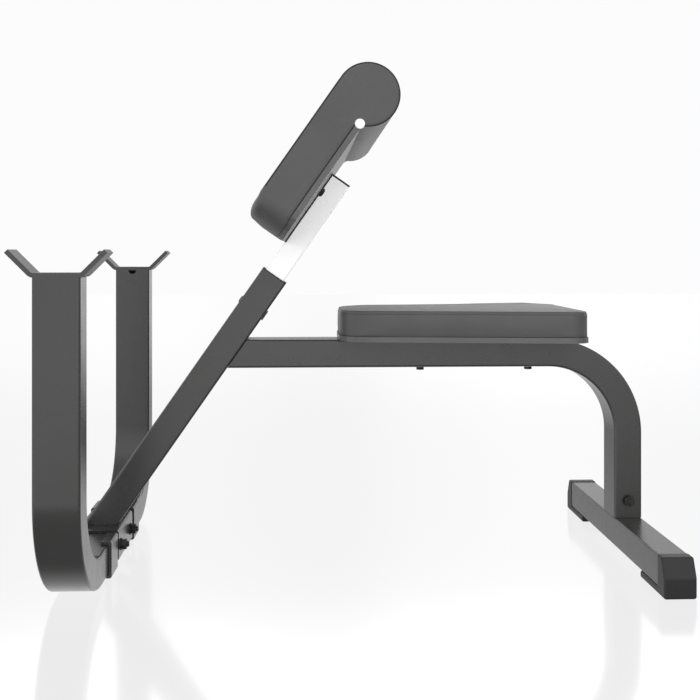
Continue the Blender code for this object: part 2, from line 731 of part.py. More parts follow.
def make_post_plugs(slide):
    """Cap on the sliding post's top, and the glide on its lower end."""
    cap_low = POST_TOP + GAP
    cap_high = cap_low + TOP_CAP_WALL
    plate = prism_mesh([rounded_rectangle(POST_NARROW, POST_BROAD, POST_CORNER)], cap_low, cap_high, "Z")
    spigot = plug_spigot(POST_TOP - PLUG_SPIGOT, (cap_low + cap_high) / 2)
    add_part("post_top_cap", union_mesh(plate, spigot), BLACK_PLASTIC, slide)

    glide_x = TUBE_NARROW - 2 * TUBE_WALL - 2 * RUNNING_GAP
    glide_y = TUBE_BROAD - 2 * TUBE_WALL - 2 * RUNNING_GAP
    glide_high = POST_BOTTOM - GAP
    glide_low = glide_high - GLIDE_LENGTH
    block = prism_mesh([rounded_rectangle(glide_x, glide_y, POST_CORNER)], glide_low, glide_high, "Z")
    spigot = plug_spigot((glide_low + glide_high) / 2, POST_BOTTOM + PLUG_SPIGOT)
    add_part("post_glide", union_mesh(block, spigot), BLACK_PLASTIC, slide)


def make_wings(slide):
    """Flat bars along the post's sides, with a bolt through each up into the pad."""
    face = -POST_NARROW / 2
    length = ARM_PAD_BELOW_TOP
    width = WING_WIDTH - GAP
    head_w = face + WING_WALL + GAP
    shank = head_w - BOARD_FRONT_W - TEE_NUT_FLANGE_WALL
    head = disc(PAD_BOLT_HEAD / 2, 0, PAD_BOLT_HEAD_HEIGHT, "Z")
    bolt = headed(head, PAD_BOLT_HEAD_HEIGHT, SMALL_BOLT, shank)
    nut = tee_nut(SMALL_BOLT, ARM_BOARD_WALL - 2 * GAP)
    hole = disc(SMALL_HOLE / 2, face - WING_WALL, face + 2 * WING_WALL, "X")
    for side, word in SIDES:
        middle = side * (POST_BROAD / 2 + GAP + width / 2)
        outline = rounded_rectangle(width, length, WING_CORNER)
        outline = shifted(outline, middle, ARM_PAD_BOTTOM + length / 2)
        bar = prism_mesh([outline], face, face + WING_WALL, "X")
        wing = add_part("pad_wing_" + word, bar, BLACK_STEEL, slide)
        centre = at(0, side * WING_BOLT_Y, WING_BOLT_S)
        cut(wing, placed(hole, centre))
        bolt_place = centre @ at(head_w, 0, 0) @ Z_TO_FRONT
        nut_place = centre @ at(BOARD_FRONT_W, 0, 0) @ Z_TO_BACK
        add_part("pad_bolt_" + word, bolt, BLACK_STEEL, slide, bolt_place)
        add_part("pad_tee_nut_" + word, nut, BLACK_STEEL, slide, nut_place)


def arm_board_outline():
    """Plan of the arm pad's board, y across and s up the post, its lower corners round."""
    half = ARM_PAD_WIDTH / 2
    steps = 6
    right = []
    for step in range(steps + 1):
        turn = math.radians(90) * step / steps
        y = half - ARM_PAD_CORNER + ARM_PAD_CORNER * math.sin(turn)
        s = ARM_PAD_BOTTOM + ARM_PAD_CORNER - ARM_PAD_CORNER * math.cos(turn)
        right.append((y, s))
    right.append((half, ARM_BOARD_TOP))
    left = [(-y, s) for y, s in right[::-1]]
    return right + left


def make_arm_board(slide):
    mesh = prism_mesh([arm_board_outline()], BOARD_FRONT_W, BOARD_BACK_W, "X")
    board = add_part("arm_pad_board", mesh, VINYL, slide)
    seat = tee_nut_seat(ARM_BOARD_WALL)
    places = [at(BOARD_FRONT_W, side * WING_BOLT_Y, WING_BOLT_S) @ Z_TO_BACK for side, _ in SIDES]
    cut(board, joined_mesh([placed(seat, place) for place in places]))


def arm_pad_section(bottom, inset, crown):
    """Side view of the foam at one station, as (w, s) pairs."""
    back = FOAM_BACK_W - inset
    front = FOAM_FRONT_W + inset
    radius = ROLL_RADIUS - inset
    low = bottom + inset
    points = []
    # Up the back, to where the roll begins
    notch = math.acos((back - ROLL_CENTRE_W) / radius)
    notch_s = ROLL_CENTRE_S - radius * math.sin(notch)
    for step in range(3):
        points.append((back, low + (notch_s - low) * step / 3))
    # Round the roll, from the notch over the top to the front
    steps = 18
    for step in range(steps + 1):
        turn = -notch + (math.pi + notch) * step / steps
        w = ROLL_CENTRE_W + radius * math.cos(turn)
        s = ROLL_CENTRE_S + radius * math.sin(turn)
        points.append((w, s))
    # Down the crowned front, then round the lower corner
    across = ARM_PAD_FRONT_ROUND
    rise = ARM_PAD_FRONT_RISE
    front_low = low + rise
    for step in range(1, 6):
        share = step / 6
        s = ROLL_CENTRE_S + (front_low - ROLL_CENTRE_S) * share
        points.append((front - crown * math.sin(math.pi * share), s))
    for step in range(5):
        turn = math.radians(90) * step / 4
        w = front + across - across * math.cos(turn)
        s = low + rise - rise * math.sin(turn)
        points.append((w, s))
    return points


def pad_ring_offsets(half):
    """How far in from the pad's end its rings lie: close together round the corner."""
    offsets = [0]
    for turn in (15, 26, 40, 55, 70, 90):
        offsets.append(ARM_PAD_CORNER * (1 - math.cos(math.radians(turn))))
    for step in (1, 2):
        offsets.append(ARM_PAD_CORNER + (half - ARM_PAD_CORNER) * step / 3)
    return offsets


def make_arm_pad(slide):
    """Foam and cover: a thick slab that ends in a roll, lofted across the bench."""
    half = ARM_PAD_WIDTH / 2
    corner = ARM_PAD_CORNER
    end_round = ARM_PAD_END_ROUND
    offsets = pad_ring_offsets(half)
    rings = []
    for offset in offsets + [half] + [2 * half - offset for offset in offsets[::-1]]:
        y = offset - half
        inward = min(offset, 2 * half - offset)
        inset = 0.0
        if inward < end_round:
            inset = end_round - math.sqrt(end_round ** 2 - (end_round - inward) ** 2)
        lift = 0.0
        if inward < corner:
            lift = corner - math.sqrt(corner ** 2 - (corner - inward) ** 2)
        lift = min(lift, ARM_PAD_CORNER_RISE)
        crown = ARM_PAD_CROWN * (1 - (y / half) ** 2)
        section = arm_pad_section(ARM_PAD_BOTTOM + lift, inset, crown)
        rings.append([Vector((w, y, s)) for w, s in section])
    pad = add_part("arm_pad_cushion", loft_mesh(rings), VINYL, slide)
    hole = disc(EDGE_PLUG_SHANK / 2 + GAP, -EDGE_PLUG_DEPTH - GAP, EDGE_PLUG_DEPTH, "Z", SHANK_SIDES)
    cut(pad, joined_mesh([placed(hole, edge_plug_place(side)) for side, _ in SIDES]))


def edge_plug_place(side):
    """Where a plug's head sits on the pad's end, with its Z axis pointing out."""
    y = side * (ARM_PAD_WIDTH / 2 + GAP)
    return at(EDGE_PLUG_W, y, EDGE_PLUG_S) @ Matrix.Rotation(math.radians(-90) * side, 4, "X")


def make_edge_plugs(slide):
    """Round buttons that close the cover's seam at each end of the roll."""
    head = disc(EDGE_PLUG_RADIUS, 0, EDGE_PLUG_HEIGHT, "Z", taper=EDGE_PLUG_TAPER)
    mesh = headed(head, EDGE_PLUG_HEIGHT, EDGE_PLUG_SHANK, EDGE_PLUG_DEPTH)
    for side, word in SIDES:
        add_part("pad_edge_plug_" + word, mesh, WHITE_PLASTIC, slide, edge_plug_place(side))


def make_rail(bench, post):
    """Seat rail and rear leg in one bent tube, cut to lie on the sleeve."""
    bend_x = LEG_X - BEND_RADIUS
    bend_z = RAIL_CENTRE_Z - BEND_RADIUS
    outline = rounded_rectangle(TUBE_NARROW, TUBE_BROAD, TUBE_CORNER)
    turn = Matrix.Rotation(math.radians(90), 4, "Y")
    moves = [
        (Vector((bend_x - RAIL_START_X, 0, 0)),),
        (Vector((bend_x, 0, bend_z)), Vector((0, 1, 0)), math.radians(90)),
        (Vector((0, 0, LEG_BOTTOM - bend_z)),),
    ]
    mesh = grow_tube(outline, at(RAIL_START_X, 0, RAIL_CENTRE_Z) @ turn, moves)
    rail = add_part("seat_rail", mesh, FRAME_PAINT, bench)
    make_hollow(rail, TUBE_WALL)
    # A block whose far face lies a gap away from the sleeve's face
    side = 4 * TUBE_BROAD
    block = prism_mesh([rounded_rectangle(side, side, TUBE_CORNER)], -side, SLEEVE_TOP + side, "Z")
    block.transform(at(TUBE_NARROW / 2 + GAP - side / 2, 0, 0))
    tool = add_tool("rail_end_tool", block, post)
    step = rail.modifiers.new("end", "BOOLEAN")
    step.object = tool
    holes = []
    for x in SEAT_BOLT_X.values():
        hole = disc(SMALL_HOLE / 2, RAIL_TOP - 2 * TUBE_NARROW, RAIL_TOP + TUBE_WALL, "Z")
        holes.append(placed(hole, at(x, 0, 0)))
    hole = disc(BIG_HOLE / 2, -TUBE_BROAD, TUBE_BROAD, "Y")
    holes.append(placed(hole, at(LEG_X, 0, LEG_BOLT_Z)))
    cut(rail, joined_mesh(holes))


def make_rear_foot(bench):
    """Foot tube, the stub that enters the leg, and the caps on its ends."""
    half = FOOT_TUBE_LENGTH / 2
    side = FOOT_TUBE_SIDE
    mesh = straight_tube_mesh(side, side, FOOT_TUBE_CORNER, TUBE_WALL, -half, half, "Y")
    foot = add_part("rear_foot_tube", mesh, FRAME_PAINT, bench)
    mesh.transform(at(LEG_X, 0, FOOT_TUBE_BOTTOM + side / 2))
    stub_x = TUBE_NARROW - 2 * TUBE_WALL - 2 * GAP
    stub_y = TUBE_BROAD - 2 * TUBE_WALL - 2 * GAP
    mesh = straight_tube_mesh(
        stub_x, stub_y, TUBE_WALL, STUB_WALL, LEG_BOTTOM, LEG_BOTTOM + STUB_HEIGHT, "Z")
    mesh.transform(at(LEG_X, 0, 0))
    stub = add_part("rear_foot_stub", mesh, FRAME_PAINT, bench)
    hole = disc(BIG_HOLE / 2, -TUBE_BROAD, TUBE_BROAD, "Y")
    cut(stub, placed(hole, at(LEG_X, 0, LEG_BOLT_Z)))

    top = FOOT_TUBE_TOP + FOOT_CAP_WALL
    for side_sign, name in ((-1, "foot_cap_left"), (1, "foot_cap_right")):
        outline = [
            (FOOT_CAP_TONGUE_Y, 0),
            (FOOT_CAP_NOSE_Y, 0),
            (FOOT_CAP_NOSE_Y, FOOT_CAP_NOSE_FLAT),
            (FOOT_CAP_NOSE_Y - FOOT_CAP_NOSE_SLOPE, top),
            (FOOT_CAP_START_Y, top),
            (FOOT_CAP_START_Y, FOOT_CAP_SOLE),
            (FOOT_CAP_TONGUE_Y, FOOT_CAP_SOLE),
        ]
        outline = [(side_sign * y, z) for y, z in outline]
        mesh = prism_mesh([outline], LEG_X - FOOT_CAP_HALF, LEG_X + FOOT_CAP_HALF, "X")
        cap = add_part(name, mesh, BLACK_PLASTIC, bench)
        rounding = cap.modifiers.new("edges", "BEVEL")
        rounding.width = FOOT_CAP_EDGE
        rounding.segments = 2
        rounding.limit_method = "ANGLE"
        pocket = rounded_rectangle(side + 2 * GAP, side + 2 * GAP, FOOT_TUBE_CORNER)
        inner = FOOT_CAP_TONGUE_Y - FOOT_TUBE_SIDE
        low, high = sorted((side_sign * inner, side_sign * (half + GAP)))
        pocket_mesh = prism_mesh([pocket], low, high, "Y")
        cut(cap, placed(pocket_mesh, at(LEG_X, 0, FOOT_TUBE_BOTTOM + side / 2)))


def make_leg_bolt(bench):
    """Bolt across the leg and the stub, with a washer at each end and a nut."""
    face = TUBE_BROAD / 2 + GAP
    seat = face + WASHER_WALL + GAP
    centre = at(LEG_X, 0, LEG_BOLT_Z)
    bolt = hex_bolt(BIG_BOLT, BIG_FLATS, BIG_HEAD, 2 * seat + BIG_NUT + BOLT_END)
    washer = ring(BIG_WASHER / 2, BIG_BOLT / 2 + GAP, 0, WASHER_WALL)
    nut = hex_nut(BIG_BOLT, BIG_FLATS, BIG_NUT)
    turns = {-1: Z_TO_NEAR, 1: Z_TO_FAR}
    for side, word in SIDES:
        place = centre @ at(0, side * face, 0) @ turns[side]
        add_part("leg_washer_" + word, washer, BLACK_STEEL, bench, place)
    add_part("leg_bolt", bolt, BLACK_STEEL, bench, centre @ at(0, seat, 0) @ Z_TO_FAR)
    add_part("leg_nut", nut, BLACK_STEEL, bench, centre @ at(0, -seat, 0) @ Z_TO_NEAR)


def seat_outline(inset):
    """Plan of the seat, narrow end towards the arm pad, with round corners."""
    front = SEAT_FRONT_X + inset
    rear = SEAT_FRONT_X + SEAT_LENGTH - inset
    slope = (SEAT_REAR_WIDTH - SEAT_FRONT_WIDTH) / 2 / SEAT_LENGTH
    lean = math.atan(slope)

    def half_width(x):
        return SEAT_FRONT_WIDTH / 2 + slope * (x - SEAT_FRONT_X) - inset / math.cos(lean)

    points = []
    steps = 6
    # The far side runs from the rear corner to the front one, and the near side mirrors it
    for end, x_end, radius in ((1, rear, SEAT_REAR_CORNER), (-1, front, SEAT_FRONT_CORNER)):
        radius = max(radius - inset, 3 * MM)
        centre_x = x_end - end * radius
        centre_y = half_width(centre_x) - radius / math.cos(lean)
        start = 0.0 if end == 1 else math.radians(90) + lean
        finish = math.radians(90) + lean if end == 1 else math.radians(180)
        for step in range(steps + 1):
            turn = start + (finish - start) * step / steps
            points.append((centre_x + radius * math.cos(turn), centre_y + radius * math.sin(turn)))
    side_start, side_end = points[steps], points[steps + 1]
    between = []
    for share in (0.25, 0.5, 0.75):
        x = side_start[0] + (side_end[0] - side_start[0]) * share
        y = side_start[1] + (side_end[1] - side_start[1]) * share
        between.append((x, y))
    far = points[: steps + 1] + between + points[steps + 1:]
    near = [(x, -y) for x, y in far[::-1]]
    return far + near


def make_seat(bench):
    """Board and crowned foam."""
    board_mesh = prism_mesh([seat_outline(-SEAT_BOARD_PROUD)], SEAT_BOARD_BOTTOM, SEAT_BOARD_TOP, "Z")
    board = add_part("seat_board", board_mesh, VINYL, bench)
    seat = tee_nut_seat(SEAT_BOARD_WALL)
    cut(board, joined_mesh([placed(seat, at(x, 0, SEAT_BOARD_TOP)) for x in SEAT_BOLT_X.values()]))

    height = SEAT_FOAM_HEIGHT
    edge = SEAT_EDGE_ROUND
    levels = []
    # Up the side, round its edge, then over the crown
    for step in range(5):
        share = step / 4
        levels.append((-SEAT_BULGE * math.sin(math.pi * share), (height - edge) * share))
    for step in (1, 2, 3):
        turn = math.radians(90) * step / 3
        levels.append((edge - edge * math.cos(turn), height - edge + edge * math.sin(turn)))
    inward = SEAT_FRONT_WIDTH / 2 - SEAT_FLAT_HALF_WIDTH - edge
    for step in range(1, 5):
        share = step / 4
        rise = SEAT_CROWN * (1 - (1 - share) ** 2)
        levels.append((edge + inward * share, height + rise))
    rings = [
        [Vector((x, y, SEAT_FOAM_BOTTOM + z)) for x, y in seat_outline(inset)] for inset, z in levels
    ]
    add_part("seat_cushion", loft_mesh(rings), VINYL, bench)


def make_seat_bolts(bench):
    """Bolts up through the rail into tee nuts in the board."""
    washer_z = RAIL_TOP - TUBE_NARROW - GAP - WASHER_WALL
    head_z = washer_z - GAP
    length = SEAT_BOARD_TOP - TEE_NUT_FLANGE_WALL - head_z
    bolt = hex_bolt(SMALL_BOLT, SMALL_FLATS, SMALL_HEAD, length)
    washer = ring(SMALL_WASHER / 2, SMALL_BOLT / 2 + GAP, 0, WASHER_WALL)
    nut = tee_nut(SMALL_BOLT, SEAT_BOARD_WALL - 2 * GAP)
    for word, x in SEAT_BOLT_X.items():
        add_part("seat_bolt_" + word, bolt, BLACK_STEEL, bench, at(x, 0, head_z) @ Z_DOWN)
        add_part("seat_washer_" + word, washer, BLACK_STEEL, bench, at(x, 0, washer_z))
        add_part("seat_tee_nut_" + word, nut, BLACK_STEEL, bench, at(x, 0, SEAT_BOARD_TOP))


clear_scene()
PARTS = new_collection("preacher_bench")
CUTTERS = new_collection("cutters")
FRAME_PAINT = new_material("frame_paint", (0.105, 0.105, 0.10), 0.45, 0.3)
WHITE_PAINT = new_material("white_paint", (0.90, 0.90, 0.90), 0.3)
BLACK_STEEL = new_material("black_steel", (0.02, 0.02, 0.02), 0.4, 0.6)
BLACK_PLASTIC = new_material("black_plastic", (0.035, 0.035, 0.036), 0.5)
WHITE_PLASTIC = new_material("white_plastic", (0.88, 0.88, 0.88), 0.35)
VINYL = new_material("vinyl", (0.105, 0.105, 0.106), 0.6)

bench_frame = new_empty("bench_frame", None, at(-CENTRE_X, 0, 0))
lean_turn = Matrix.Rotation(math.radians(90) - POST_ANGLE, 4, "Y")
post_axis = new_empty("post_axis", bench_frame, at(POST_BASE_X, 0, POST_BASE_Z) @ lean_turn)
pad_slide = new_empty("pad_slide_axis", post_axis, Matrix.Identity(4))

make_rack(bench_frame)
make_catches(bench_frame)
make_foot_clips(bench_frame)
make_saddle(bench_frame)
make_saddle_bolts(bench_frame)
make_sleeve(post_axis)
make_bush(post_axis)
make_clamp(post_axis)
make_sliding_post(pad_slide)
make_post_plugs(pad_slide)
make_wings(pad_slide)
make_arm_board(pad_slide)
make_arm_pad(pad_slide)
make_edge_plugs(pad_slide)
make_rail(bench_frame, post_axis)
make_rear_foot(bench_frame)
make_leg_bolt(bench_frame)
make_seat(bench_frame)
make_seat_bolts(bench_frame)
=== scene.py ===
# Looks of the preacher curl bench: painted tubes with smooth bends, upholstered pads,
# hardware, a pale floor and studio light. Units are metres.
import json
import math

import bmesh
import bpy
from mathutils import Matrix, Vector


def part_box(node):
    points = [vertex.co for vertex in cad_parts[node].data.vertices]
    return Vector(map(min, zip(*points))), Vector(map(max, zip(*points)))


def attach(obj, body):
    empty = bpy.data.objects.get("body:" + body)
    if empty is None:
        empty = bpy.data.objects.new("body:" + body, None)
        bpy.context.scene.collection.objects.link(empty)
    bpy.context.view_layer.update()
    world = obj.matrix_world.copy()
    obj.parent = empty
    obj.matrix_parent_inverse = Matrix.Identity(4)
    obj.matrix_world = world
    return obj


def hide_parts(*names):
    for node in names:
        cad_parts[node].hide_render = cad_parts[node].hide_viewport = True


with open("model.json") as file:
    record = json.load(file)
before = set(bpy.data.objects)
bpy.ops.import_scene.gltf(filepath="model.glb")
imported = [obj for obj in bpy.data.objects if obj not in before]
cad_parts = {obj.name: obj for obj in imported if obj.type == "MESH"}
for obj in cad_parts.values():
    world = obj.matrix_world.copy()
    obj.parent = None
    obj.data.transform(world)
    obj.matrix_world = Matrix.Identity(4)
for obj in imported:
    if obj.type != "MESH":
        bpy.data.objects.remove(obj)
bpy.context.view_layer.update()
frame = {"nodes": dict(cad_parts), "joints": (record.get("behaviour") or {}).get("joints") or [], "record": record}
NODES = frame["nodes"]
RECORD = frame["record"]
MM = 0.001

# Clearance between neighbours, and the angle from which an edge is drawn sharp
GAP = 0.3 * MM
SHARP_ANGLE = math.radians(40)
QUARTER = math.radians(90)

# Frame tube
TUBE_BROAD = 70 * MM
TUBE_NARROW = 50 * MM
TUBE_WALL = 2.5 * MM
TUBE_CORNER = 4 * MM
BEND_RADIUS = 145 * MM
BEND_STEPS = 28
CORNER_STEPS = 5
VENT_RADIUS = 8 * MM
CLAMP_BOLT_HOLE = 9 * MM
CLAMP_NUT_HOLE = 12 * MM

# Fasteners: width across the flats or the dome, height of the head, thread
M10_FLATS = 16 * MM
M10_HEAD = 6.4 * MM
M10_THREAD = 10 * MM
M8_FLATS = 13 * MM
M8_HEAD = 5.3 * MM
M8_THREAD = 8 * MM
PAD_BOLT_DOME = 16.5 * MM
PAD_BOLT_HEAD = 5 * MM
CLAMP_BOLT_DOME = 14 * MM
CLAMP_BOLT_HEAD = 2.4 * MM
BOLT_TIP = 1.2 * MM
DOME = [(1.0, 0.35), (0.86, 0.75), (0.55, 0.95), (0.2, 1.0)]
CHAMFER = math.radians(30)
CHAMFER_START = 0.97

# Rear foot
FOOT_TUBE_SIDE = 50 * MM
FOOT_TUBE_CORNER = 3 * MM
CAP_SOLE = 11.2 * MM
CAP_OVERLAP = 19.5 * MM
CAP_SLOPE = 14 * MM
CAP_FLAT = 33.3 * MM
CAP_ROUND = 4 * MM
CAP_FACE_ROUND = 1.6 * MM
CAP_LEAST_ROUND = 0.05 * MM

# Saddle
SADDLE_WALL = 4 * MM
SADDLE_BEND = 5 * MM
SADDLE_SIDE_HOLE = 11 * MM
SADDLE_TOP_HOLE = 9 * MM

# Sliding post
POST_WALL = 2 * MM
POST_CORNER = 3 * MM
SLOT_WIDTH = 12 * MM
SLOT_LENGTH = 113 * MM

# Arm pad, in the post's frame: x runs out of the post's underside and z runs up it
PAD_BACK = -19.3 * MM
PAD_BOARD = 9 * MM
PAD_DEPTH = 69.5 * MM
PAD_WIDTH = 610 * MM
PAD_BOTTOM = 595.2 * MM
PAD_PLAN_CORNER = 40 * MM
PAD_FRONT_ACROSS = 11 * MM
PAD_FRONT_RISE = 23 * MM
PAD_BACK_CORNER = 0.5 * MM
ROLL_RADIUS = 49.6 * MM
ROLL_CENTRE_Z = 854.0 * MM
PAD_END_ROUND = 3 * MM
PAD_END_INSETS = (9 * MM, 5.5 * MM)
PAD_LEAST_CORNER = 2 * MM
PAD_SECTION_POINTS = 150
PAD_MIDDLE_RINGS = 44
PIPING_RADIUS = 1.3 * MM
PIPING_INWARD = 0.35 * PAD_END_ROUND

# Seat
SEAT_FRONT_WIDTH = 190 * MM
SEAT_REAR_WIDTH = 292 * MM
SEAT_FRONT_CORNER = 50 * MM
SEAT_REAR_CORNER = 28 * MM
SEAT_HEIGHT = 45.5 * MM
SEAT_TOP_ROUND = 4 * MM
SEAT_CROWN = 5 * MM
SEAT_BULGE = 1 * MM
SEAT_UPPER_SEAM = 6.5 * MM
SEAT_BASE_ROUND = 1 * MM
SEAT_LEAST_CORNER = 4 * MM
SEAT_OUTLINE_POINTS = 180
SEAT_BAND_RINGS = 8
SEAT_TOP_RINGS = 18

# Seams in the covers
SEAM_DEPTH = 1.0 * MM
SEAM_HALF_WIDTH = 0.7 * MM

# Cloth
CLOTH_FRAMES = 16
CLOTH_PRESSURE = 3.0
CLOTH_QUALITY = 6
CLOTH_CAP = 1.5 * MM

# Studio: the backdrop's level as the camera sees it, and the levels that light the bench.
# Front and back are (height of a direction, level), their sides are (x, level), and the
# back's share is (y, share). The front's heights are tilted along x.
BACKDROP = 0.973
FRONT_LIGHT = [
    (-1.0, 0.25), (-0.4, 0.1), (-0.27, 0.2), (-0.22, 0.55), (-0.19, 1.1), (-0.16, 1.7), (-0.12, 2.1),
    (-0.08, 1.9), (-0.02, 1.45), (0.15, 1.7), (0.6, 1.8), (1.0, 0.8),
]
BACK_LIGHT = [
    (-1.0, 1.3), (-0.7, 1.8), (-0.45, 1.5), (-0.3, 1.25), (-0.22, 1.0), (-0.14, 0.62), (-0.075, 1.3),
    (-0.03, 1.5), (0.08, 1.5), (0.16, 0.8), (0.3, 0.8), (0.37, 2.8), (0.5, 2.8), (0.62, 1.2), (1.0, 0.7),
]
FRONT_TILT = -0.22
BACK_SHARE = [(-1.0, 0.0), (-0.05, 0.0), (0.3, 1.0), (1.0, 1.0)]
FRONT_SIDE = [
    (-1.0, 0.9), (-0.27, 0.85), (0.0, 1.1), (0.22, 1.12), (0.3, 0.95), (0.6, 0.7), (1.0, 0.6),
]
BACK_SIDE = [
    (-1.0, 0.9), (-0.5, 0.75), (-0.3, 0.62), (-0.15, 0.75), (0.03, 0.55), (0.12, 0.85),
    (0.2, 1.0), (0.25, 1.0), (0.32, 0.8), (0.5, 0.6), (1.0, 0.6),
]
LOW_LIGHT_PLACE = (0.35, -2.2, 0.15)
LOW_LIGHT_AIM = (-0.15, 0.0, 0.6)
LOW_LIGHT_SIZE = 1.2
LOW_LIGHT_POWER = 29
FLOOR_SIZE = 12
FLOOR_GLOW = 1.03
FLOOR_MIRROR = 0.2
FLOOR_ROUGHNESS = 0.12

# Camera, from the fit to the photograph
CAMERA_PLACE = (-0.09525, -1.9364, 0.5385)
CAMERA_YAW = 0.0465
CAMERA_LENS = 54.9
CAMERA_SENSOR = 36
CAMERA_SHIFT = -0.1376

# Widths of the soft edges on the CAD nodes that still show, by material slot
EDGE_WIDTHS = {
    "frame_paint": 0.8 * MM, "white_paint": 0.5 * MM, "black_steel": 0.4 * MM,
    "black_plastic": 0.6 * MM, "white_plastic": 0.8 * MM, "board_vinyl": 0.5 * MM,
}


def node_tree(name):
    made = bpy.data.materials.new(name)
    made.use_nodes = True
    return made, made.node_tree, made.node_tree.nodes["Principled BSDF"]


def add_node(tree, kind, **values):
    """A shader node with its sockets set by name."""
    node = tree.nodes.new(kind)
    for key, value in values.items():
        node.inputs[key.replace("_", " ")].default_value = value
    return node


def object_coordinates(tree):
    return tree.nodes.new("ShaderNodeTexCoord").outputs["Object"]


def varied_colour(tree, shader, colour, spread, scale):
    """Base colour that drifts a little over the surface."""
    noise = add_node(tree, "ShaderNodeTexNoise", Scale=scale, Detail=4.0)
    tree.links.new(object_coordinates(tree), noise.inputs["Vector"])
    ramp = tree.nodes.new("ShaderNodeValToRGB")
    ramp.color_ramp.elements[0].position = 0.3
    ramp.color_ramp.elements[1].position = 0.7
    ramp.color_ramp.elements[0].color = (*[channel * (1 - spread) for channel in colour], 1)
    ramp.color_ramp.elements[1].color = (*[channel * (1 + spread) for channel in colour], 1)
    tree.links.new(noise.outputs["Fac"], ramp.inputs["Fac"])
    tree.links.new(ramp.outputs["Color"], shader.inputs["Base Color"])


def varied_roughness(tree, shader, low, high, scale):
    noise = add_node(tree, "ShaderNodeTexNoise", Scale=scale, Detail=3.0)
    tree.links.new(object_coordinates(tree), noise.inputs["Vector"])
    span = tree.nodes.new("ShaderNodeMapRange")
    span.inputs["To Min"].default_value = low
    span.inputs["To Max"].default_value = high
    tree.links.new(noise.outputs["Fac"], span.inputs["Value"])
    tree.links.new(span.outputs["Result"], shader.inputs["Roughness"])


def bump_from(tree, shader, height, strength, distance):
    bump = add_node(tree, "ShaderNodeBump", Strength=strength, Distance=distance)
    tree.links.new(height, bump.inputs["Height"])
    tree.links.new(bump.outputs["Normal"], shader.inputs["Normal"])


def painted(name, colour, roughness, peel=0.018):
    """Powder coat: a fine orange peel with slight drift in tone and gloss."""
    made, tree, shader = node_tree(name)
    varied_colour(tree, shader, colour, spread=0.05, scale=9.0)
    varied_roughness(tree, shader, roughness - 0.04, roughness + 0.05, scale=40.0)
    peel_noise = add_node(tree, "ShaderNodeTexNoise", Scale=350.0, Detail=2.0)
    tree.links.new(object_coordinates(tree), peel_noise.inputs["Vector"])
    bump_from(tree, shader, peel_noise.outputs["Fac"], strength=peel, distance=0.2 * MM)
    return made


def black_steel():
    """Blackened steel with uneven gloss."""
    made, tree, shader = node_tree("black_steel")
    shader.inputs["Metallic"].default_value = 0.7
    varied_colour(tree, shader, (0.03, 0.03, 0.031), spread=0.2, scale=120.0)
    varied_roughness(tree, shader, 0.32, 0.5, scale=300.0)
    return made


def moulded_plastic(name, colour, roughness):
    """Moulded plastic with a fine spark-eroded grain."""
    made, tree, shader = node_tree(name)
    varied_colour(tree, shader, colour, spread=0.04, scale=30.0)
    shader.inputs["Roughness"].default_value = roughness
    shader.inputs["Specular IOR Level"].default_value = 0.3
    grain = add_node(tree, "ShaderNodeTexNoise", Scale=1400.0, Detail=1.0)
    tree.links.new(object_coordinates(tree), grain.inputs["Vector"])
    bump_from(tree, shader, grain.outputs["Fac"], strength=0.2, distance=0.2 * MM)
    return made


def vinyl(name, colour, roughness):
    """Upholstery vinyl: pebbled grain about 1 mm across under a soft gloss."""
    made, tree, shader = node_tree(name)
    varied_colour(tree, shader, colour, spread=0.08, scale=14.0)
    varied_roughness(tree, shader, roughness - 0.06, roughness + 0.06, scale=60.0)
    pebbles = add_node(tree, "ShaderNodeTexVoronoi", Scale=700.0)
    pebbles.feature = "DISTANCE_TO_EDGE"
    tree.links.new(object_coordinates(tree), pebbles.inputs["Vector"])
    cells = add_node(tree, "ShaderNodeTexNoise", Scale=450.0, Detail=3.0)
    tree.links.new(object_coordinates(tree), cells.inputs["Vector"])
    total = tree.nodes.new("ShaderNodeMath")
    total.operation = "ADD"
    tree.links.new(pebbles.outputs["Distance"], total.inputs[0])
    tree.links.new(cells.outputs["Fac"], total.inputs[1])
    bump_from(tree, shader, total.outputs["Value"], strength=0.35, distance=0.4 * MM)
    return made


def rounded_rectangle(width, height, radius, steps=CORNER_STEPS):
    points = []
    for corner in range(4):
        sign_x = 1 if corner in (0, 3) else -1
        sign_y = 1 if corner in (0, 1) else -1
        for step in range(steps + 1):
            turn = QUARTER * (corner + step / steps)
            x = sign_x * (width / 2 - radius) + radius * math.cos(turn)
            y = sign_y * (height / 2 - radius) + radius * math.sin(turn)
            points.append((x, y))
    return points


def add_piece(name, mesh, material, body, replaced=None):
    """Puts a mesh in the scene, on its body, in place of a CAD node."""
    piece = bpy.data.objects.new(name, mesh)
    bpy.context.scene.collection.objects.link(piece)
    mesh.materials.append(material)
    mesh.shade_smooth()
    mesh.set_sharp_from_angle(angle=SHARP_ANGLE)
    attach(piece, body)
    if replaced:
        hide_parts(replaced)
    return piece


def finished(shape, name):
    """The mesh of a bmesh, which is freed."""
    mesh = bpy.data.meshes.new(name)
    shape.to_mesh(mesh)
    shape.free()
    return mesh


def grow_tube(outline, start, moves):
    """Surface of a tube: an outline carried through straight runs and bends.

    A move is (offset,) for a straight run or (centre, axis, angle) for a bend.
    """
    rings = [[start @ Vector((x, y, 0)) for x, y in outline]]
    for move in moves:
        last = rings[-1]
        if len(move) == 1:
            rings.append([point + move[0] for point in last])
            continue
        centre, axis, angle = move
        for step in range(1, BEND_STEPS + 1):
            turn = Matrix.Rotation(angle * step / BEND_STEPS, 3, axis)
            rings.append([centre + turn @ (point - centre) for point in last])
    mesh = loft(rings, ends=False)
    first = mesh.polygons[0]
    if first.normal.dot(first.center - start.translation) < 0:
        mesh.flip_normals()
    return mesh


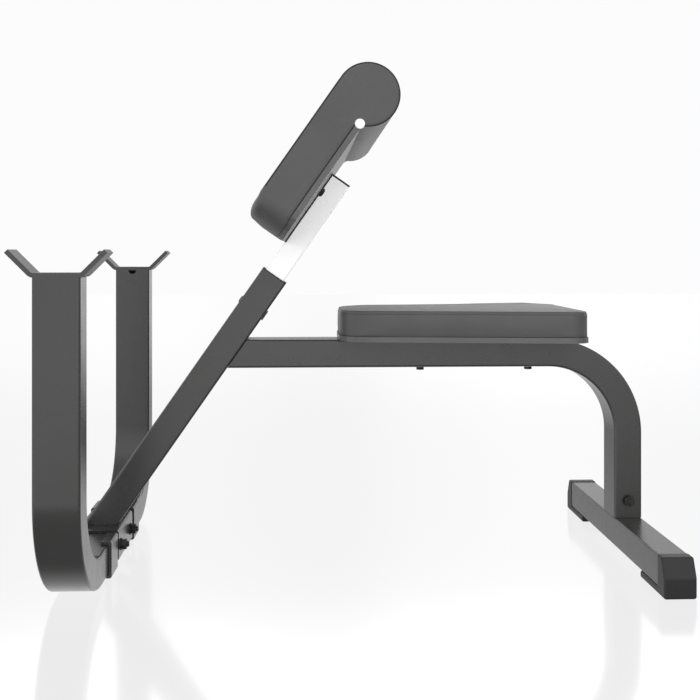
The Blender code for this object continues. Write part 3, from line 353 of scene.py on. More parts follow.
def make_hollow(piece, wall):
    """Gives a tube's surface its wall, with crisp edges at its ends."""
    step = piece.modifiers.new("wall", "SOLIDIFY")
    step.thickness = wall
    step.offset = -1
    step.use_even_offset = True
    settle(piece)


def settle(piece):
    """Applies a piece's modifiers and marks its sharp edges again."""
    graph = bpy.context.evaluated_depsgraph_get()
    result = bpy.data.meshes.new_from_object(piece.evaluated_get(graph))
    piece.modifiers.clear()
    piece.data = result
    result.shade_smooth()
    result.set_sharp_from_angle(angle=SHARP_ANGLE)


def even_normals(piece):
    """Keeps broad faces flat in the light beside their rounded edges."""
    step = piece.modifiers.new("even normals", "WEIGHTED_NORMAL")
    step.keep_sharp = True
    step.weight = 90


def soften(node, width):
    step = node.modifiers.new("soft edges", "BEVEL")
    step.width = width
    step.segments = 2
    step.limit_method = "ANGLE"
    step.angle_limit = math.radians(35)
    step.harden_normals = True


def rod_mesh(radius, length, place, sides=32):
    """A rod along z, to cut with."""
    shape = bmesh.new()
    bmesh.ops.create_cone(
        shape, cap_ends=True, segments=sides, radius1=radius, radius2=radius, depth=length,
        matrix=place)
    return finished(shape, "rod")


def shape_now(piece, meshes, operation="DIFFERENCE"):
    """Cuts solids out of a piece, or joins them to it, and keeps only the result."""
    for mesh in meshes:
        tool = bpy.data.objects.new("tool", mesh)
        bpy.context.scene.collection.objects.link(tool)
        step = piece.modifiers.new("shape", "BOOLEAN")
        step.object = tool
        step.operation = operation
        settle(piece)
        bpy.data.objects.remove(tool, do_unlink=True)


def block_mesh(low, high, place=None):
    """A block between two corners, to cut with."""
    size = [b - a for a, b in zip(low, high)]
    middle = [(a + b) / 2 for a, b in zip(low, high)]
    shape = bmesh.new()
    matrix = Matrix.Translation(middle) @ Matrix.Diagonal((*size, 1))
    bmesh.ops.create_cube(shape, size=1, matrix=place @ matrix if place else matrix)
    return finished(shape, "block")


def post_frame():
    """The post's own frame: its origin in the foot, z up the post, x out of the underside."""
    slide = Vector(frame["joints"][0]["axis"])
    lean = math.atan2(slide.x, slide.z)
    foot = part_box("post_sleeve")[0]
    centre_x = foot.x + TUBE_NARROW / 2 / math.cos(lean)
    return Matrix.Translation((centre_x, 0, foot.z)) @ Matrix.Rotation(lean, 4, "Y")


def bounds_in(node, place):
    """Lowest and highest corners of a CAD node in a frame of its own."""
    back = place.inverted()
    points = [back @ vert.co for vert in NODES[node].data.vertices]
    low = Vector([min(point[k] for point in points) for k in range(3)])
    high = Vector([max(point[k] for point in points) for k in range(3)])
    return low, high


def make_rack_tube(material):
    """The wide U of the rack, with smooth bends and a vent under each catch."""
    low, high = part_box("rack_tube")
    # The catches are welded on, so no light shows between
    top = high.z + GAP
    broad = high.x - low.x
    narrow = TUBE_NARROW
    centre_x = (low.x + high.x) / 2
    upright_y = high.y - narrow / 2
    bend_z = low.z + narrow / 2 + BEND_RADIUS
    bend_y = upright_y - BEND_RADIUS
    rise = top - bend_z
    outline = rounded_rectangle(broad, narrow, TUBE_CORNER)
    moves = [
        (Vector((0, 0, -rise)),),
        (Vector((centre_x, -bend_y, bend_z)), Vector((1, 0, 0)), QUARTER),
        (Vector((0, 2 * bend_y, 0)),),
        (Vector((centre_x, bend_y, bend_z)), Vector((1, 0, 0)), QUARTER),
        (Vector((0, 0, rise)),),
    ]
    start = Matrix.Translation((centre_x, -upright_y, top))
    mesh = grow_tube(outline, start, moves)
    piece = add_piece("rack_tube_finish", mesh, material, "frame", "rack_tube")
    make_hollow(piece, TUBE_WALL)
    vents = []
    for side in (-1, 1):
        place = Matrix.Translation((centre_x, side * (high.y - narrow), top))
        vents.append(rod_mesh(VENT_RADIUS, 4 * TUBE_WALL, place @ Matrix.Rotation(QUARTER, 4, "X")))
    shape_now(piece, vents)
    even_normals(piece)


def make_seat_rail(material, post):
    """Seat rail and rear leg in one smooth bend, cut to lie on the sleeve."""
    low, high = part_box("seat_rail")
    leg_x = high.x - TUBE_NARROW / 2
    rail_z = high.z - TUBE_NARROW / 2
    bend_x = leg_x - BEND_RADIUS
    bend_z = rail_z - BEND_RADIUS
    start_x = low.x - TUBE_BROAD
    outline = rounded_rectangle(TUBE_NARROW, high.y - low.y, TUBE_CORNER)
    moves = [
        (Vector((bend_x - start_x, 0, 0)),),
        (Vector((bend_x, 0, bend_z)), Vector((0, 1, 0)), QUARTER),
        (Vector((0, 0, low.z - bend_z)),),
    ]
    start = Matrix.Translation((start_x, 0, rail_z)) @ Matrix.Rotation(QUARTER, 4, "Y")
    mesh = grow_tube(outline, start, moves)
    piece = add_piece("seat_rail_finish", mesh, material, "frame", "seat_rail")
    make_hollow(piece, TUBE_WALL)
    face = TUBE_NARROW / 2 + GAP
    reach = 4 * TUBE_BROAD
    shape_now(piece, [block_mesh((face - reach, -reach, -reach), (face, reach, 3 * reach), post)])
    even_normals(piece)


def clamp_height(post):
    """How far up the post the clamp's bolt runs through."""
    low, high = bounds_in("clamp_bolt", post)
    return (low.z + high.z) / 2


def make_sleeve(material, post):
    """The post's outer tube, cut level at its foot and drilled for the clamp."""
    high = bounds_in("post_sleeve", post)[1]
    outline = rounded_rectangle(TUBE_NARROW, TUBE_BROAD, TUBE_CORNER)
    start = post @ Matrix.Translation((0, 0, -TUBE_BROAD))
    run = post.to_3x3() @ Vector((0, 0, high.z + TUBE_BROAD))
    mesh = grow_tube(outline, start, [(run,)])
    piece = add_piece("post_sleeve_finish", mesh, material, "frame", "post_sleeve")
    make_hollow(piece, TUBE_WALL)
    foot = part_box("post_sleeve")[0]
    reach = 2 * TUBE_BROAD
    level = block_mesh((foot.x - reach, -reach, foot.z - reach), (foot.x + reach, reach, foot.z))
    clamp_z = clamp_height(post)
    holes = []
    for side, width in ((-1, CLAMP_BOLT_HOLE), (1, CLAMP_NUT_HOLE)):
        place = Matrix.Translation((side * TUBE_NARROW / 2, 0, clamp_z))
        turn = Matrix.Rotation(QUARTER, 4, "Y")
        holes.append(rod_mesh(width / 2, 4 * TUBE_WALL, post @ place @ turn))
    shape_now(piece, [level] + holes)
    even_normals(piece)


def make_sliding_post(material, post):
    """The white inner tube with round corners, slotted where the clamp runs through."""
    low, high = bounds_in("pad_post", post)
    outline = rounded_rectangle(high.x - low.x, high.y - low.y, POST_CORNER)
    start = post @ Matrix.Translation(((low.x + high.x) / 2, 0, low.z))
    run = post.to_3x3() @ Vector((0, 0, high.z - low.z))
    mesh = grow_tube(outline, start, [(run,)])
    piece = add_piece("pad_post_finish", mesh, material, "arm_pad_carrier", "pad_post")
    make_hollow(piece, POST_WALL)
    clamp_z = clamp_height(post)
    half = SLOT_WIDTH / 2
    ends = [(clamp_z + SLOT_LENGTH / 2 - half, 0), (clamp_z - SLOT_LENGTH / 2 + half, 180)]
    outline = []
    for z, turn in ends:
        outline += arc((0, z), half, turn, turn + 180, 10)
    reach = TUBE_BROAD
    slot = loft([[post @ Vector((x, y, z)) for y, z in outline] for x in (-reach, reach)])
    shape_now(piece, [slot])
    even_normals(piece)


def make_saddle(material, painted_shade_material):
    """Angle plate over the rack tube, bent round at its corner, its end faces near-black as painted shade."""
    low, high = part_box("post_saddle")
    outer = SADDLE_BEND
    inner = outer - SADDLE_WALL
    corner = (high.x - outer, high.z - outer)
    outline = [(low.x, high.z)] + arc(corner, outer, 90, 0, 8) + [(high.x, low.z)]
    outline += [(high.x - SADDLE_WALL, low.z)] + arc(corner, inner, 0, 90, 4)
    outline += [(low.x, high.z - SADDLE_WALL)]
    mesh = loft([[Vector((x, y, z)) for x, z in outline] for y in (low.y, high.y)])
    piece = add_piece("post_saddle_finish", mesh, material, "frame", "post_saddle")
    # The end faces across y take a near-black second material: painted shade
    mesh.materials.append(painted_shade_material)
    for face in mesh.polygons:
        if abs(face.normal.y) > 0.9:
            face.material_index = 1
    holes = []
    for word in ("left", "right"):
        middle = sum(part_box("saddle_side_bolt_" + word), Vector()) / 2
        place = Matrix.Translation((high.x, middle.y, middle.z)) @ Matrix.Rotation(QUARTER, 4, "Y")
        holes.append(rod_mesh(SADDLE_SIDE_HOLE / 2, 6 * SADDLE_WALL, place))
        middle = sum(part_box("saddle_top_bolt_" + word), Vector()) / 2
        place = Matrix.Translation((middle.x, middle.y, high.z))
        holes.append(rod_mesh(SADDLE_TOP_HOLE / 2, 4 * SADDLE_WALL, place))
    shape_now(piece, holes)
    even_normals(piece)


def make_foot_tube(material):
    """Square tube across the bench under the rear leg."""
    low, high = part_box("rear_foot_tube")
    outline = rounded_rectangle(FOOT_TUBE_SIDE, FOOT_TUBE_SIDE, FOOT_TUBE_CORNER)
    middle = (low + high) / 2
    turn = Matrix.Rotation(-QUARTER, 4, "X")
    start = Matrix.Translation((middle.x, low.y, middle.z)) @ turn
    mesh = grow_tube(outline, start, [(Vector((0, high.y - low.y, 0)),)])
    piece = add_piece("rear_foot_tube_finish", mesh, material, "frame", "rear_foot_tube")
    make_hollow(piece, TUBE_WALL)
    even_normals(piece)


def turned_corner(before, corner, after, radius, steps=4):
    """Points that round one corner of an outline."""
    a = (Vector(before) - Vector(corner)).normalized()
    b = (Vector(after) - Vector(corner)).normalized()
    half = a.angle(b) / 2
    reach = radius / math.tan(half)
    centre = Vector(corner) + (a + b).normalized() * (radius / math.sin(half))
    first = Vector(corner) + a * reach - centre
    last = Vector(corner) + b * reach - centre
    start = math.atan2(first.y, first.x)
    sweep = math.atan2(last.y, last.x) - start
    sweep = (sweep + math.pi) % (2 * math.pi) - math.pi
    points = []
    for step in range(steps + 1):
        turn = start + sweep * step / steps
        points.append((centre.x + radius * math.cos(turn), centre.y + radius * math.sin(turn)))
    return points


def rounded_outline(corners):
    """A closed outline from (x, y, radius) corners."""
    points = []
    for k, (x, y, radius) in enumerate(corners):
        before = corners[k - 1][:2]
        after = corners[(k + 1) % len(corners)][:2]
        if radius:
            points += turned_corner(before, (x, y), after, radius)
        else:
            points.append((x, y))
    return points


def drawn_in(points, distance):
    """The outline moved inwards, each point along its own bisector."""
    area = 0.0
    for a, b in zip(points, points[1:] + points[:1]):
        area += a[0] * b[1] - b[0] * a[1]
    turn = 1 if area > 0 else -1
    result = []
    for k, point in enumerate(points):
        before = Vector(points[k - 1])
        after = Vector(points[(k + 1) % len(points)])
        here = Vector(point)
        a = (here - before).normalized()
        b = (after - here).normalized()
        normal = Vector((-(a.y + b.y), a.x + b.x)).normalized() * turn
        scale = 1 / max(0.3, normal.dot(Vector((-a.y, a.x)) * turn))
        result.append(tuple(here + normal * distance * scale))
    return result


def make_foot_cap(material, name, side):
    """Plastic cap: a hood over the tube's end, its nose leaning back, on a long sole."""
    low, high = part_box(name)
    tube_low, tube_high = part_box("rear_foot_tube")
    outer = max(abs(low.y), abs(high.y))
    inner = min(abs(low.y), abs(high.y))
    hood = tube_high.y - CAP_OVERLAP
    corners = [
        (inner, 0, CAP_FACE_ROUND),
        (outer, 0, CAP_ROUND),
        (outer, CAP_FLAT, 3 * CAP_ROUND),
        (outer - CAP_SLOPE, high.z, CAP_ROUND),
        (hood, high.z, CAP_FACE_ROUND / 2),
        (hood, CAP_SOLE, 0),
        (inner, CAP_SOLE, CAP_FACE_ROUND / 2),
    ]
    sharp = [(y, z) for y, z, radius in corners]
    rings = []
    turns = [90, 60, 30, 0]
    for end, order in ((-1, turns), (1, turns[::-1])):
        for turn in order:
            angle = math.radians(turn)
            inset = CAP_ROUND * (1 - math.cos(angle))
            x = high.x - CAP_ROUND + CAP_ROUND * math.sin(angle)
            if end < 0:
                x = low.x + high.x - x
            inset_corners = []
            for (y, z), (_, _, radius) in zip(drawn_in(sharp, inset), corners):
                inset_corners.append((y, z, max(radius - inset, CAP_LEAST_ROUND) if radius else 0))
            rings.append([Vector((x, side * y, z)) for y, z in rounded_outline(inset_corners)])
    piece = add_piece(name + "_finish", loft(rings), material, "frame", name)
    middle = (tube_low + tube_high) / 2
    half = FOOT_TUBE_SIDE / 2 + GAP
    ends = (side * (inner - TUBE_BROAD), side * (tube_high.y + GAP))
    bore = rounded_rectangle(2 * half, 2 * half, FOOT_TUBE_CORNER)
    pocket = loft([[Vector((middle.x + x, y, middle.z + z)) for x, z in bore] for y in ends])
    shape_now(piece, [pocket])
    even_normals(piece)


def lathe(profile, sides=32):
    """A solid turned round z from (radius, height) points."""
    rings = []
    for radius, height in profile:
        ring = []
        for k in range(sides):
            turn = 2 * math.pi * k / sides
            ring.append(Vector((radius * math.cos(turn), radius * math.sin(turn), height)))
        rings.append(ring)
    return loft(rings)


def hexagon_mesh(flats, low, high):
    corners = []
    for k in range(6):
        turn = math.radians(60 * k + 30)
        corners.append((flats / math.sqrt(3) * math.cos(turn), flats / math.sqrt(3) * math.sin(turn)))
    return loft([[Vector((x, y, z)) for x, y in corners] for z in (low, high)])


def hexagon_bounds(flats, low, high, both_ends):
    """What a hexagon is turned down to: its corners fall away at 30 degrees."""
    inner = flats / 2 * CHAMFER_START
    outer = flats / math.sqrt(3) + MM
    fall = (outer - inner) * math.tan(CHAMFER)
    start = [(inner, low), (outer, low + fall)] if both_ends else [(outer, low)]
    return lathe(start + [(outer, high - fall), (inner, high)], 48)


def make_bolt(node, place, material, body, flats, head, diameter, domed=False):
    """A bolt in place of a CAD one, its head at the high end of its own z axis."""
    low, high = bounds_in(node, place)
    middle = Matrix.Translation(((low.x + high.x) / 2, (low.y + high.y) / 2, high.z - head))
    shank = diameter / 2
    length = high.z - head - low.z
    profile = [(shank - BOLT_TIP, -length), (shank, BOLT_TIP - length)]
    whole = place @ middle
    if domed:
        edge = flats / 2
        profile += [(shank, 0), (edge, 0)]
        profile += [(across * edge, up * head) for across, up in DOME]
        mesh = lathe(profile)
    else:
        mesh = hexagon_mesh(flats, 0, head)
    mesh.transform(whole)
    piece = add_piece(node + "_finish", mesh, material, body, node)
    if not domed:
        bound = hexagon_bounds(flats, 0, head, False)
        bound.transform(whole)
        shape_now(piece, [bound], "INTERSECT")
        rod = lathe(profile + [(shank, head / 2)])
        rod.transform(whole)
        shape_now(piece, [rod], "UNION")
    even_normals(piece)


def make_nut(node, place, material, flats, diameter):
    """A hexagonal nut in place of a CAD one, chamfered at both ends."""
    low, high = bounds_in(node, place)
    middle = Matrix.Translation(((low.x + high.x) / 2, (low.y + high.y) / 2, low.z))
    height = high.z - low.z
    whole = place @ middle
    mesh = hexagon_mesh(flats, 0, height)
    mesh.transform(whole)
    piece = add_piece(node + "_finish", mesh, material, "frame", node)
    bound = hexagon_bounds(flats, 0, height, True)
    bound.transform(whole)
    shape_now(piece, [bound], "INTERSECT")
    bore = lathe([(diameter / 2 + GAP, -height), (diameter / 2 + GAP, 2 * height)])
    bore.transform(whole)
    shape_now(piece, [bore])
    even_normals(piece)


def make_fasteners(material, post):
    """The bolts and nuts that show, with turned-down heads and round tips."""
    to_back = Matrix.Rotation(-QUARTER, 4, "Y")
    to_front = Matrix.Rotation(QUARTER, 4, "Y")
    to_far = Matrix.Rotation(-QUARTER, 4, "X")
    to_near = Matrix.Rotation(QUARTER, 4, "X")
    down = Matrix.Rotation(2 * QUARTER, 4, "X")
    upright = Matrix.Identity(4)
    large = (M10_FLATS, M10_HEAD, M10_THREAD)
    small = (M8_FLATS, M8_HEAD, M8_THREAD)
    pad_dome = (PAD_BOLT_DOME, PAD_BOLT_HEAD, M8_THREAD, True)
    clamp_dome = (CLAMP_BOLT_DOME, CLAMP_BOLT_HEAD, M8_THREAD, True)
    for word in ("left", "right"):
        make_bolt("saddle_side_bolt_" + word, to_back, material, "frame", *large)
        make_nut("saddle_side_nut_" + word, to_front, material, M10_FLATS, M10_THREAD)
        make_bolt("saddle_top_bolt_" + word, upright, material, "frame", *small)
        make_bolt("pad_bolt_" + word, post @ to_front, material, "arm_pad_carrier", *pad_dome)
    for word in ("front", "rear"):
        make_bolt("seat_bolt_" + word, down, material, "frame", *small)
    make_bolt("leg_bolt", to_far, material, "frame", *large)
    make_nut("leg_nut", to_near, material, M10_FLATS, M10_THREAD)
    make_bolt("clamp_bolt", post @ to_back, material, "frame", *clamp_dome)


def loft(rings, ends=True):
    """Quads through closed rings of equal length, with flat ends unless left open."""
    shape = bmesh.new()
    rows = [[shape.verts.new(point) for point in points] for points in rings]
    for low, high in zip(rows, rows[1:]):
        for k in range(len(low)):
            shape.faces.new((low[k - 1], low[k], high[k], high[k - 1]))
    if ends:
        shape.faces.new(rows[0])
        shape.faces.new(rows[-1])
    bmesh.ops.recalc_face_normals(shape, faces=shape.faces)
    return finished(shape, "loft")


def arc(centre, radius, start, finish, steps, rise=None):
    """Points on an arc, angles in degrees, both ends included, or on an ellipse."""
    rise = radius if rise is None else rise
    points = []
    for step in range(steps + 1):
        turn = math.radians(start + (finish - start) * step / steps)
        points.append((centre[0] + radius * math.cos(turn), centre[1] + rise * math.sin(turn)))
    return points


def evenly(points, count):
    """The closed outline through these points, with evenly spaced ones instead."""
    closed = points + [points[0]]
    lengths = [0.0]
    for a, b in zip(closed, closed[1:]):
        lengths.append(lengths[-1] + math.dist(a, b))
    result = []
    at = 0
    for k in range(count):
        goal = lengths[-1] * k / count
        while lengths[at + 1] < goal:
            at += 1
        share = (goal - lengths[at]) / max(lengths[at + 1] - lengths[at], 1e-9)
        a, b = closed[at], closed[at + 1]
        result.append(tuple(p + (q - p) * share for p, q in zip(a, b)))
    return result


def pad_section(bottom, inset):
    """Side view of the arm pad's foam as (x, z): back, roll, front and lower corners."""
    back = PAD_BACK - PAD_BOARD - GAP - inset
    front = PAD_BACK - PAD_DEPTH + inset
    roll_x = PAD_BACK - PAD_DEPTH + ROLL_RADIUS
    radius = ROLL_RADIUS - inset
    low = bottom + inset
    notch = math.degrees(math.acos((back - roll_x) / radius))
    small = PAD_BACK_CORNER
    across = max(PAD_FRONT_ACROSS - inset, PAD_LEAST_CORNER)
    rise = max(PAD_FRONT_RISE - inset, PAD_LEAST_CORNER)
    points = arc((back - small, low + small), small, -90, 0, 3)
    points += arc((roll_x, ROLL_CENTRE_Z), radius, -notch, 180, 48)
    points += arc((front + across, low + rise), across, 180, 270, 12, rise)
    return points


def pad_rows():
    """(distance from the pad's end, inset of the section) of each ring, up to the middle."""
    half = PAD_WIDTH / 2
    corner = PAD_PLAN_CORNER
    rows = [(0.0, inset) for inset in PAD_END_INSETS]
    for turn in (15, 35, 55, 75):
        angle = math.radians(turn)
        rows.append((PAD_END_ROUND * (1 - math.cos(angle)), PAD_END_ROUND * (1 - math.sin(angle))))
    for turn in (24, 29, 34, 40, 46, 52, 58, 64, 70, 76, 82, 90):
        rows.append((corner * (1 - math.cos(math.radians(turn))), 0.0))
    for k in range(1, PAD_MIDDLE_RINGS + 1):
        rows.append((corner + (half - corner) * k / PAD_MIDDLE_RINGS, 0.0))
    return rows


def pad_lift(inward):
    """How far the rounded plan lifts the lower end, this far in from the pad's end."""
    corner = PAD_PLAN_CORNER
    if inward >= corner:
        return 0.0
    lift = corner - math.sqrt(corner ** 2 - (corner - inward) ** 2)
    return min(lift, corner * 0.9)


def make_arm_pad(material, piping_shade_material, post, body):
    """The arm pad: a slab with a roll, its end panels sewn in along piped edges whose near-black colour is painted
    shade.
    """
    half = PAD_WIDTH / 2
    rows = pad_rows()
    rows = rows + [(PAD_WIDTH - offset, inset) for offset, inset in rows[-2::-1]]
    rings = []
    for offset, inset in rows:
        lift = pad_lift(min(offset, PAD_WIDTH - offset))
        section = evenly(pad_section(PAD_BOTTOM + lift, inset), PAD_SECTION_POINTS)
        rings.append([Vector((x, offset - half, z)) for x, z in section])
    mesh = loft(rings)
    held = set()
    board_x = PAD_BACK - PAD_BOARD - 2 * GAP
    for vert in mesh.vertices:
        inward = half - abs(vert.co.y)
        if vert.co.x > board_x or inward < PAD_END_ROUND * 1.2:
            held.add(vert.index)
    mesh.transform(post)
    piece = add_piece("arm_pad_cover", mesh, material, body, "arm_pad_cushion")
    puff(piece, held)
    for side, word in ((-1, "left"), (1, "right")):
        make_shaded_piping(piping_shade_material, post, body, side, word)


def make_shaded_piping(material, post, body, side, word):
    """Piping round an end panel, from the board over the roll and down the front, near-black as painted shade at
    the rounded edge.
    """
    y = side * (PAD_WIDTH / 2 - PIPING_INWARD)
    section = pad_section(PAD_BOTTOM + pad_lift(PIPING_INWARD), PIPING_INWARD)
    # It starts past the board's corner and stops before the pad's lower end
    path = [Vector((x, y, z)) for x, z in section[4:-10]]
    # Its two ends dip into the cover
    for k, share in ((0, 1.0), (1, 0.5), (-1, 1.0), (-2, 0.5)):
        path[k] -= Vector((0, side * 3 * PIPING_RADIUS * share, 0))
    mesh = cord_mesh([post @ point for point in path], PIPING_RADIUS)
    add_piece("arm_pad_piping_shade_" + word, mesh, material, body)


def cord_mesh(points, radius):
    """A round cord along a path, with closed ends."""
    curve = bpy.data.curves.new("cord", "CURVE")
    curve.dimensions = "3D"
    curve.bevel_depth = radius
    curve.bevel_resolution = 3
    curve.use_fill_caps = True
    spline = curve.splines.new("POLY")
    spline.points.add(len(points) - 1)
    for target, point in zip(spline.points, points):
        target.co = (*point, 1)
    guide = bpy.data.objects.new("cord", curve)
    bpy.context.scene.collection.objects.link(guide)
    graph = bpy.context.evaluated_depsgraph_get()
    mesh = bpy.data.meshes.new_from_object(guide.evaluated_get(graph))
    bpy.data.objects.remove(guide, do_unlink=True)
    shape = bmesh.new()
    shape.from_mesh(mesh)
    bmesh.ops.remove_doubles(shape, verts=shape.verts, dist=1e-6)
    shape.to_mesh(mesh)
    shape.free()
    return mesh


def puff(piece, held):
    """Swells a cover a little with cloth under pressure, held at its seams and board."""
    group = piece.vertex_groups.new(name="held")
    group.add(sorted(held), 1.0, "REPLACE")
    before = [vert.co.copy() for vert in piece.data.vertices]
    cloth = piece.modifiers.new("cloth", "CLOTH")
    cloth.settings.use_pressure = True
    cloth.settings.uniform_pressure_force = CLOTH_PRESSURE
    cloth.settings.vertex_group_mass = "held"
    cloth.settings.effector_weights.gravity = 0
    cloth.settings.quality = CLOTH_QUALITY
    cloth.collision_settings.use_collision = False
    scene = bpy.context.scene
    for number in range(1, CLOTH_FRAMES + 1):
        scene.frame_set(number)
    graph = bpy.context.evaluated_depsgraph_get()
    after = piece.evaluated_get(graph).data
    moved = [vert.co.copy() for vert in after.vertices]
    piece.modifiers.clear()
    piece.vertex_groups.clear()
    for vert, start, end in zip(piece.data.vertices, before, moved):
        step = end - start
        if step.length > CLOTH_CAP:
            step *= CLOTH_CAP / step.length
        vert.co = start + step
    scene.frame_set(1)


def seat_outline(low, high, inset, steps=14):
    """Plan of the seat: narrow at the front, its four corners round."""
    front = low.x + inset
    rear = high.x - inset
    slope = (SEAT_REAR_WIDTH - SEAT_FRONT_WIDTH) / 2 / (high.x - low.x)
    lean = math.degrees(math.atan(slope))
    slant = math.cos(math.radians(lean))

    def half_width(x):
        return SEAT_FRONT_WIDTH / 2 + slope * (x - low.x) - inset / slant

    large = max(SEAT_FRONT_CORNER - inset, SEAT_LEAST_CORNER)
    small = max(SEAT_REAR_CORNER - inset, SEAT_LEAST_CORNER)
    rear_centre = (rear - small, half_width(rear - small) - small / slant)
    front_centre = (front + large, half_width(front + large) - large / slant)
    far = arc(rear_centre, small, 0, 90 + lean, steps) + arc(front_centre, large, 90 + lean, 180, steps)
    near = [(x, -y) for x, y in far[::-1]]
    return far + near


def seat_levels():
    """(inset of the plan, height over the board) of each ring, from the base up."""
    base = SEAT_BASE_ROUND
    seam = SEAT_HEIGHT - SEAT_UPPER_SEAM
    levels = [(base, 0.0), (0.3 * base, 0.3 * base), (0.0, base)]
    for k in range(1, SEAT_BAND_RINGS + 1):
        levels.append((0.0, base + (seam - SEAM_HALF_WIDTH - base) * k / SEAT_BAND_RINGS))
    levels += [(SEAM_DEPTH, seam), (0.0, seam + SEAM_HALF_WIDTH)]
    for turn in (10, 30, 50, 70, 90):
        angle = math.radians(turn)
        inset = SEAT_TOP_ROUND * (1 - math.cos(angle))
        levels.append((inset, SEAT_HEIGHT - SEAT_TOP_ROUND * (1 - math.sin(angle))))
    reach = SEAT_FRONT_WIDTH / 2
    for k in range(1, SEAT_TOP_RINGS):
        share = k / SEAT_TOP_RINGS
        inset = SEAT_TOP_ROUND + (reach - SEAT_TOP_ROUND) * share
        levels.append((inset, SEAT_HEIGHT + SEAT_CROWN * (1 - (1 - share) ** 2)))
    return levels


def make_seat(material):
    """The seat's cover: a crowned top panel sewn to a straight side band."""
    low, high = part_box("seat_cushion")
    base = low.z
    # The CAD cushion's sides bulge, so the cover starts a little inside its box
    low = low + Vector((SEAT_BULGE, SEAT_BULGE, 0))
    high = high - Vector((SEAT_BULGE, SEAT_BULGE, 0))
    rings = []
    for inset, z in seat_levels():
        outline = evenly(seat_outline(low, high, inset), SEAT_OUTLINE_POINTS)
        rings.append([Vector((x, y, base + z)) for x, y in outline])
    mesh = loft(rings)
    seam = SEAT_HEIGHT - SEAT_UPPER_SEAM
    held = set()
    for vert in mesh.vertices:
        z = vert.co.z - base
        if z < 0.5 * SEAT_BASE_ROUND or abs(z - seam) < 0.5 * SEAM_HALF_WIDTH:
            held.add(vert.index)
    piece = add_piece("seat_cover", mesh, material, "frame", "seat_cushion")
    puff(piece, held)


def finish_nodes(paints):
    """Gives each CAD node that still shows its material and soft edges."""
    by_slot = {}
    for entry in RECORD["subparts"]:
        by_slot.setdefault(entry["material_slot"], []).append(entry["node"])
    for slot, width in EDGE_WIDTHS.items():
        for name in by_slot[slot]:
            node = NODES[name]
            node.data.materials.clear()
            node.data.materials.append(paints[slot])
            soften(node, width)


def direction_ramp(tree, source, stops):
    """Brightness along one coordinate, as (place, level) stops between -1 and 1."""
    span = tree.nodes.new("ShaderNodeMapRange")
    span.inputs["From Min"].default_value = -1.0
    span.inputs["From Max"].default_value = 1.0
    tree.links.new(source, span.inputs["Value"])
    ramp = tree.nodes.new("ShaderNodeValToRGB")
    ramp.color_ramp.interpolation = "EASE"
    elements = ramp.color_ramp.elements
    while len(elements) < len(stops):
        elements.new(0.5)
    for element, (place, level) in zip(elements, stops):
        element.position = (place + 1) / 2
        element.color = (level, level, level, 1)
    tree.links.new(span.outputs["Result"], ramp.inputs["Fac"])
    return ramp.outputs["Color"]


def blended(tree, factor, first, second, kind="MIX"):
    """Two colours, or a colour and a level, mixed by a factor."""
    mix = tree.nodes.new("ShaderNodeMix")
    mix.data_type = "RGBA"
    mix.blend_type = kind
    sockets = [socket for socket in mix.inputs if socket.type == "RGBA"]
    for socket, value in zip(sockets, (first, second)):
        if isinstance(value, float):
            socket.default_value = (value, value, value, 1)
        else:
            tree.links.new(value, socket)
    if isinstance(factor, float):
        mix.inputs["Factor"].default_value = factor
    else:
        tree.links.new(factor, mix.inputs["Factor"])
    return [socket for socket in mix.outputs if socket.type == "RGBA"][0]


def make_floor():
    """A pale floor that glows evenly, with a faint mirror image of the bench."""
    shape = bmesh.new()
    bmesh.ops.create_grid(shape, x_segments=1, y_segments=1, size=FLOOR_SIZE)
    mesh = finished(shape, "floor")
    floor = bpy.data.objects.new("floor", mesh)
    bpy.context.scene.collection.objects.link(floor)
    made = bpy.data.materials.new("floor")
    made.use_nodes = True
    tree = made.node_tree
    tree.nodes.remove(tree.nodes["Principled BSDF"])
    glow = add_node(tree, "ShaderNodeEmission", Color=(FLOOR_GLOW, FLOOR_GLOW, FLOOR_GLOW, 1))
    mirror = add_node(tree, "ShaderNodeBsdfAnisotropic", Roughness=FLOOR_ROUGHNESS)
    mix = add_node(tree, "ShaderNodeMixShader", Fac=FLOOR_MIRROR)
    tree.links.new(glow.outputs["Emission"], mix.inputs[1])
    tree.links.new(mirror.outputs["BSDF"], mix.inputs[2])
    tree.links.new(mix.outputs["Shader"], tree.nodes["Material Output"].inputs["Surface"])
    mesh.materials.append(made)
    floor.visible_diffuse = False
    floor.visible_glossy = False
    floor.visible_shadow = False


def make_studio():
    """White surroundings whose brightness changes with height and side."""
    world = bpy.data.worlds.new("studio")
    bpy.context.scene.world = world
    world.use_nodes = True
    tree = world.node_tree
    place = tree.nodes.new("ShaderNodeTexCoord")
    split = tree.nodes.new("ShaderNodeSeparateXYZ")
    tree.links.new(place.outputs["Generated"], split.inputs["Vector"])
    tilted = tree.nodes.new("ShaderNodeMath")
    tilted.operation = "MULTIPLY_ADD"
    tilted.inputs[1].default_value = FRONT_TILT
    tree.links.new(split.outputs["X"], tilted.inputs[0])
    tree.links.new(split.outputs["Z"], tilted.inputs[2])
    front = direction_ramp(tree, tilted.outputs["Value"], FRONT_LIGHT)
    back = direction_ramp(tree, split.outputs["Z"], BACK_LIGHT)
    share = direction_ramp(tree, split.outputs["Y"], BACK_SHARE)
    front_side = direction_ramp(tree, split.outputs["X"], FRONT_SIDE)
    back_side = direction_ramp(tree, split.outputs["X"], BACK_SIDE)
    path = tree.nodes.new("ShaderNodeLightPath")
    front = blended(tree, 1.0, front, front_side, "MULTIPLY")
    back = blended(tree, 1.0, back, back_side, "MULTIPLY")
    lit = blended(tree, share, front, back)
    seen = blended(tree, path.outputs["Is Camera Ray"], lit, BACKDROP)
    tree.links.new(seen, tree.nodes["Background"].inputs["Color"])


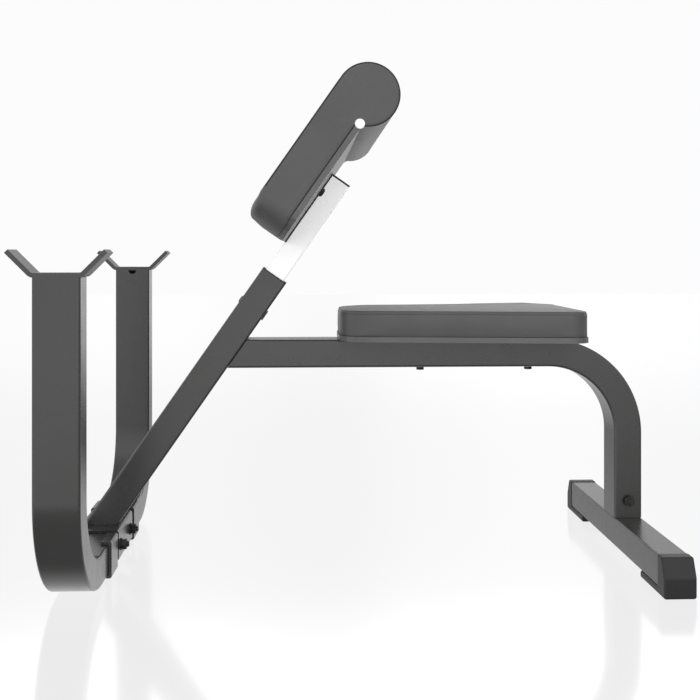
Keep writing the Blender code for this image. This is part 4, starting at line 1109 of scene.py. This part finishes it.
def make_low_light():
    """A broad soft light, low on the right, which reaches in under the arm pad."""
    lamp = bpy.data.lights.new("low_light", "AREA")
    lamp.energy = LOW_LIGHT_POWER
    lamp.size = LOW_LIGHT_SIZE
    lamp.specular_factor = 0
    light = bpy.data.objects.new("low_light", lamp)
    light.location = LOW_LIGHT_PLACE
    aim = Vector(LOW_LIGHT_AIM) - Vector(LOW_LIGHT_PLACE)
    light.rotation_euler = aim.to_track_quat("-Z", "Y").to_euler()
    light.visible_glossy = False
    bpy.context.scene.collection.objects.link(light)


def make_camera():
    """The photograph's view: level, turned a little to the right."""
    camera = bpy.data.cameras.new("camera")
    camera.lens = CAMERA_LENS
    camera.sensor_width = CAMERA_SENSOR
    camera.shift_y = CAMERA_SHIFT
    viewer = bpy.data.objects.new("camera", camera)
    viewer.location = CAMERA_PLACE
    viewer.rotation_euler = (QUARTER, 0, -CAMERA_YAW)
    bpy.context.scene.collection.objects.link(viewer)
    bpy.context.scene.camera = viewer
    bpy.context.scene.view_settings.view_transform = "Standard"


paints = {
    "frame_paint": painted("frame_paint", (0.026, 0.026, 0.0255), 0.26),
    "white_paint": painted("white_paint", (0.82, 0.82, 0.82), 0.3),
    "black_steel": black_steel(),
    "black_plastic": moulded_plastic("black_plastic", (0.013, 0.013, 0.0135), 0.48),
    "white_plastic": moulded_plastic("white_plastic", (0.85, 0.85, 0.84), 0.35),
    "board_vinyl": vinyl("board_vinyl", (0.06, 0.06, 0.061), 0.38),
    "cushion_vinyl": vinyl("cushion_vinyl", (0.045, 0.045, 0.0455), 0.44),
    # Near-black painted shade on the arm pad's piping
    "piping_painted_shade": vinyl("piping_painted_shade", (0.008, 0.008, 0.0082), 0.6),
    # Near-black painted shade on the saddle's end faces
    "painted_shade_edge": painted("painted_shade_edge", (0.008, 0.008, 0.008), 0.5),
}
POST = post_frame()

finish_nodes(paints)
make_rack_tube(paints["frame_paint"])
make_sleeve(paints["frame_paint"], POST)
make_saddle(paints["frame_paint"], paints["painted_shade_edge"])
make_sliding_post(paints["white_paint"], POST)
make_seat_rail(paints["frame_paint"], POST)
make_foot_tube(paints["frame_paint"])
make_foot_cap(paints["black_plastic"], "foot_cap_left", -1)
make_foot_cap(paints["black_plastic"], "foot_cap_right", 1)
make_fasteners(paints["black_steel"], POST)
make_arm_pad(paints["cushion_vinyl"], paints["piping_painted_shade"], POST, "arm_pad_carrier")
make_seat(paints["cushion_vinyl"])
make_floor()
make_studio()
make_low_light()
make_camera()
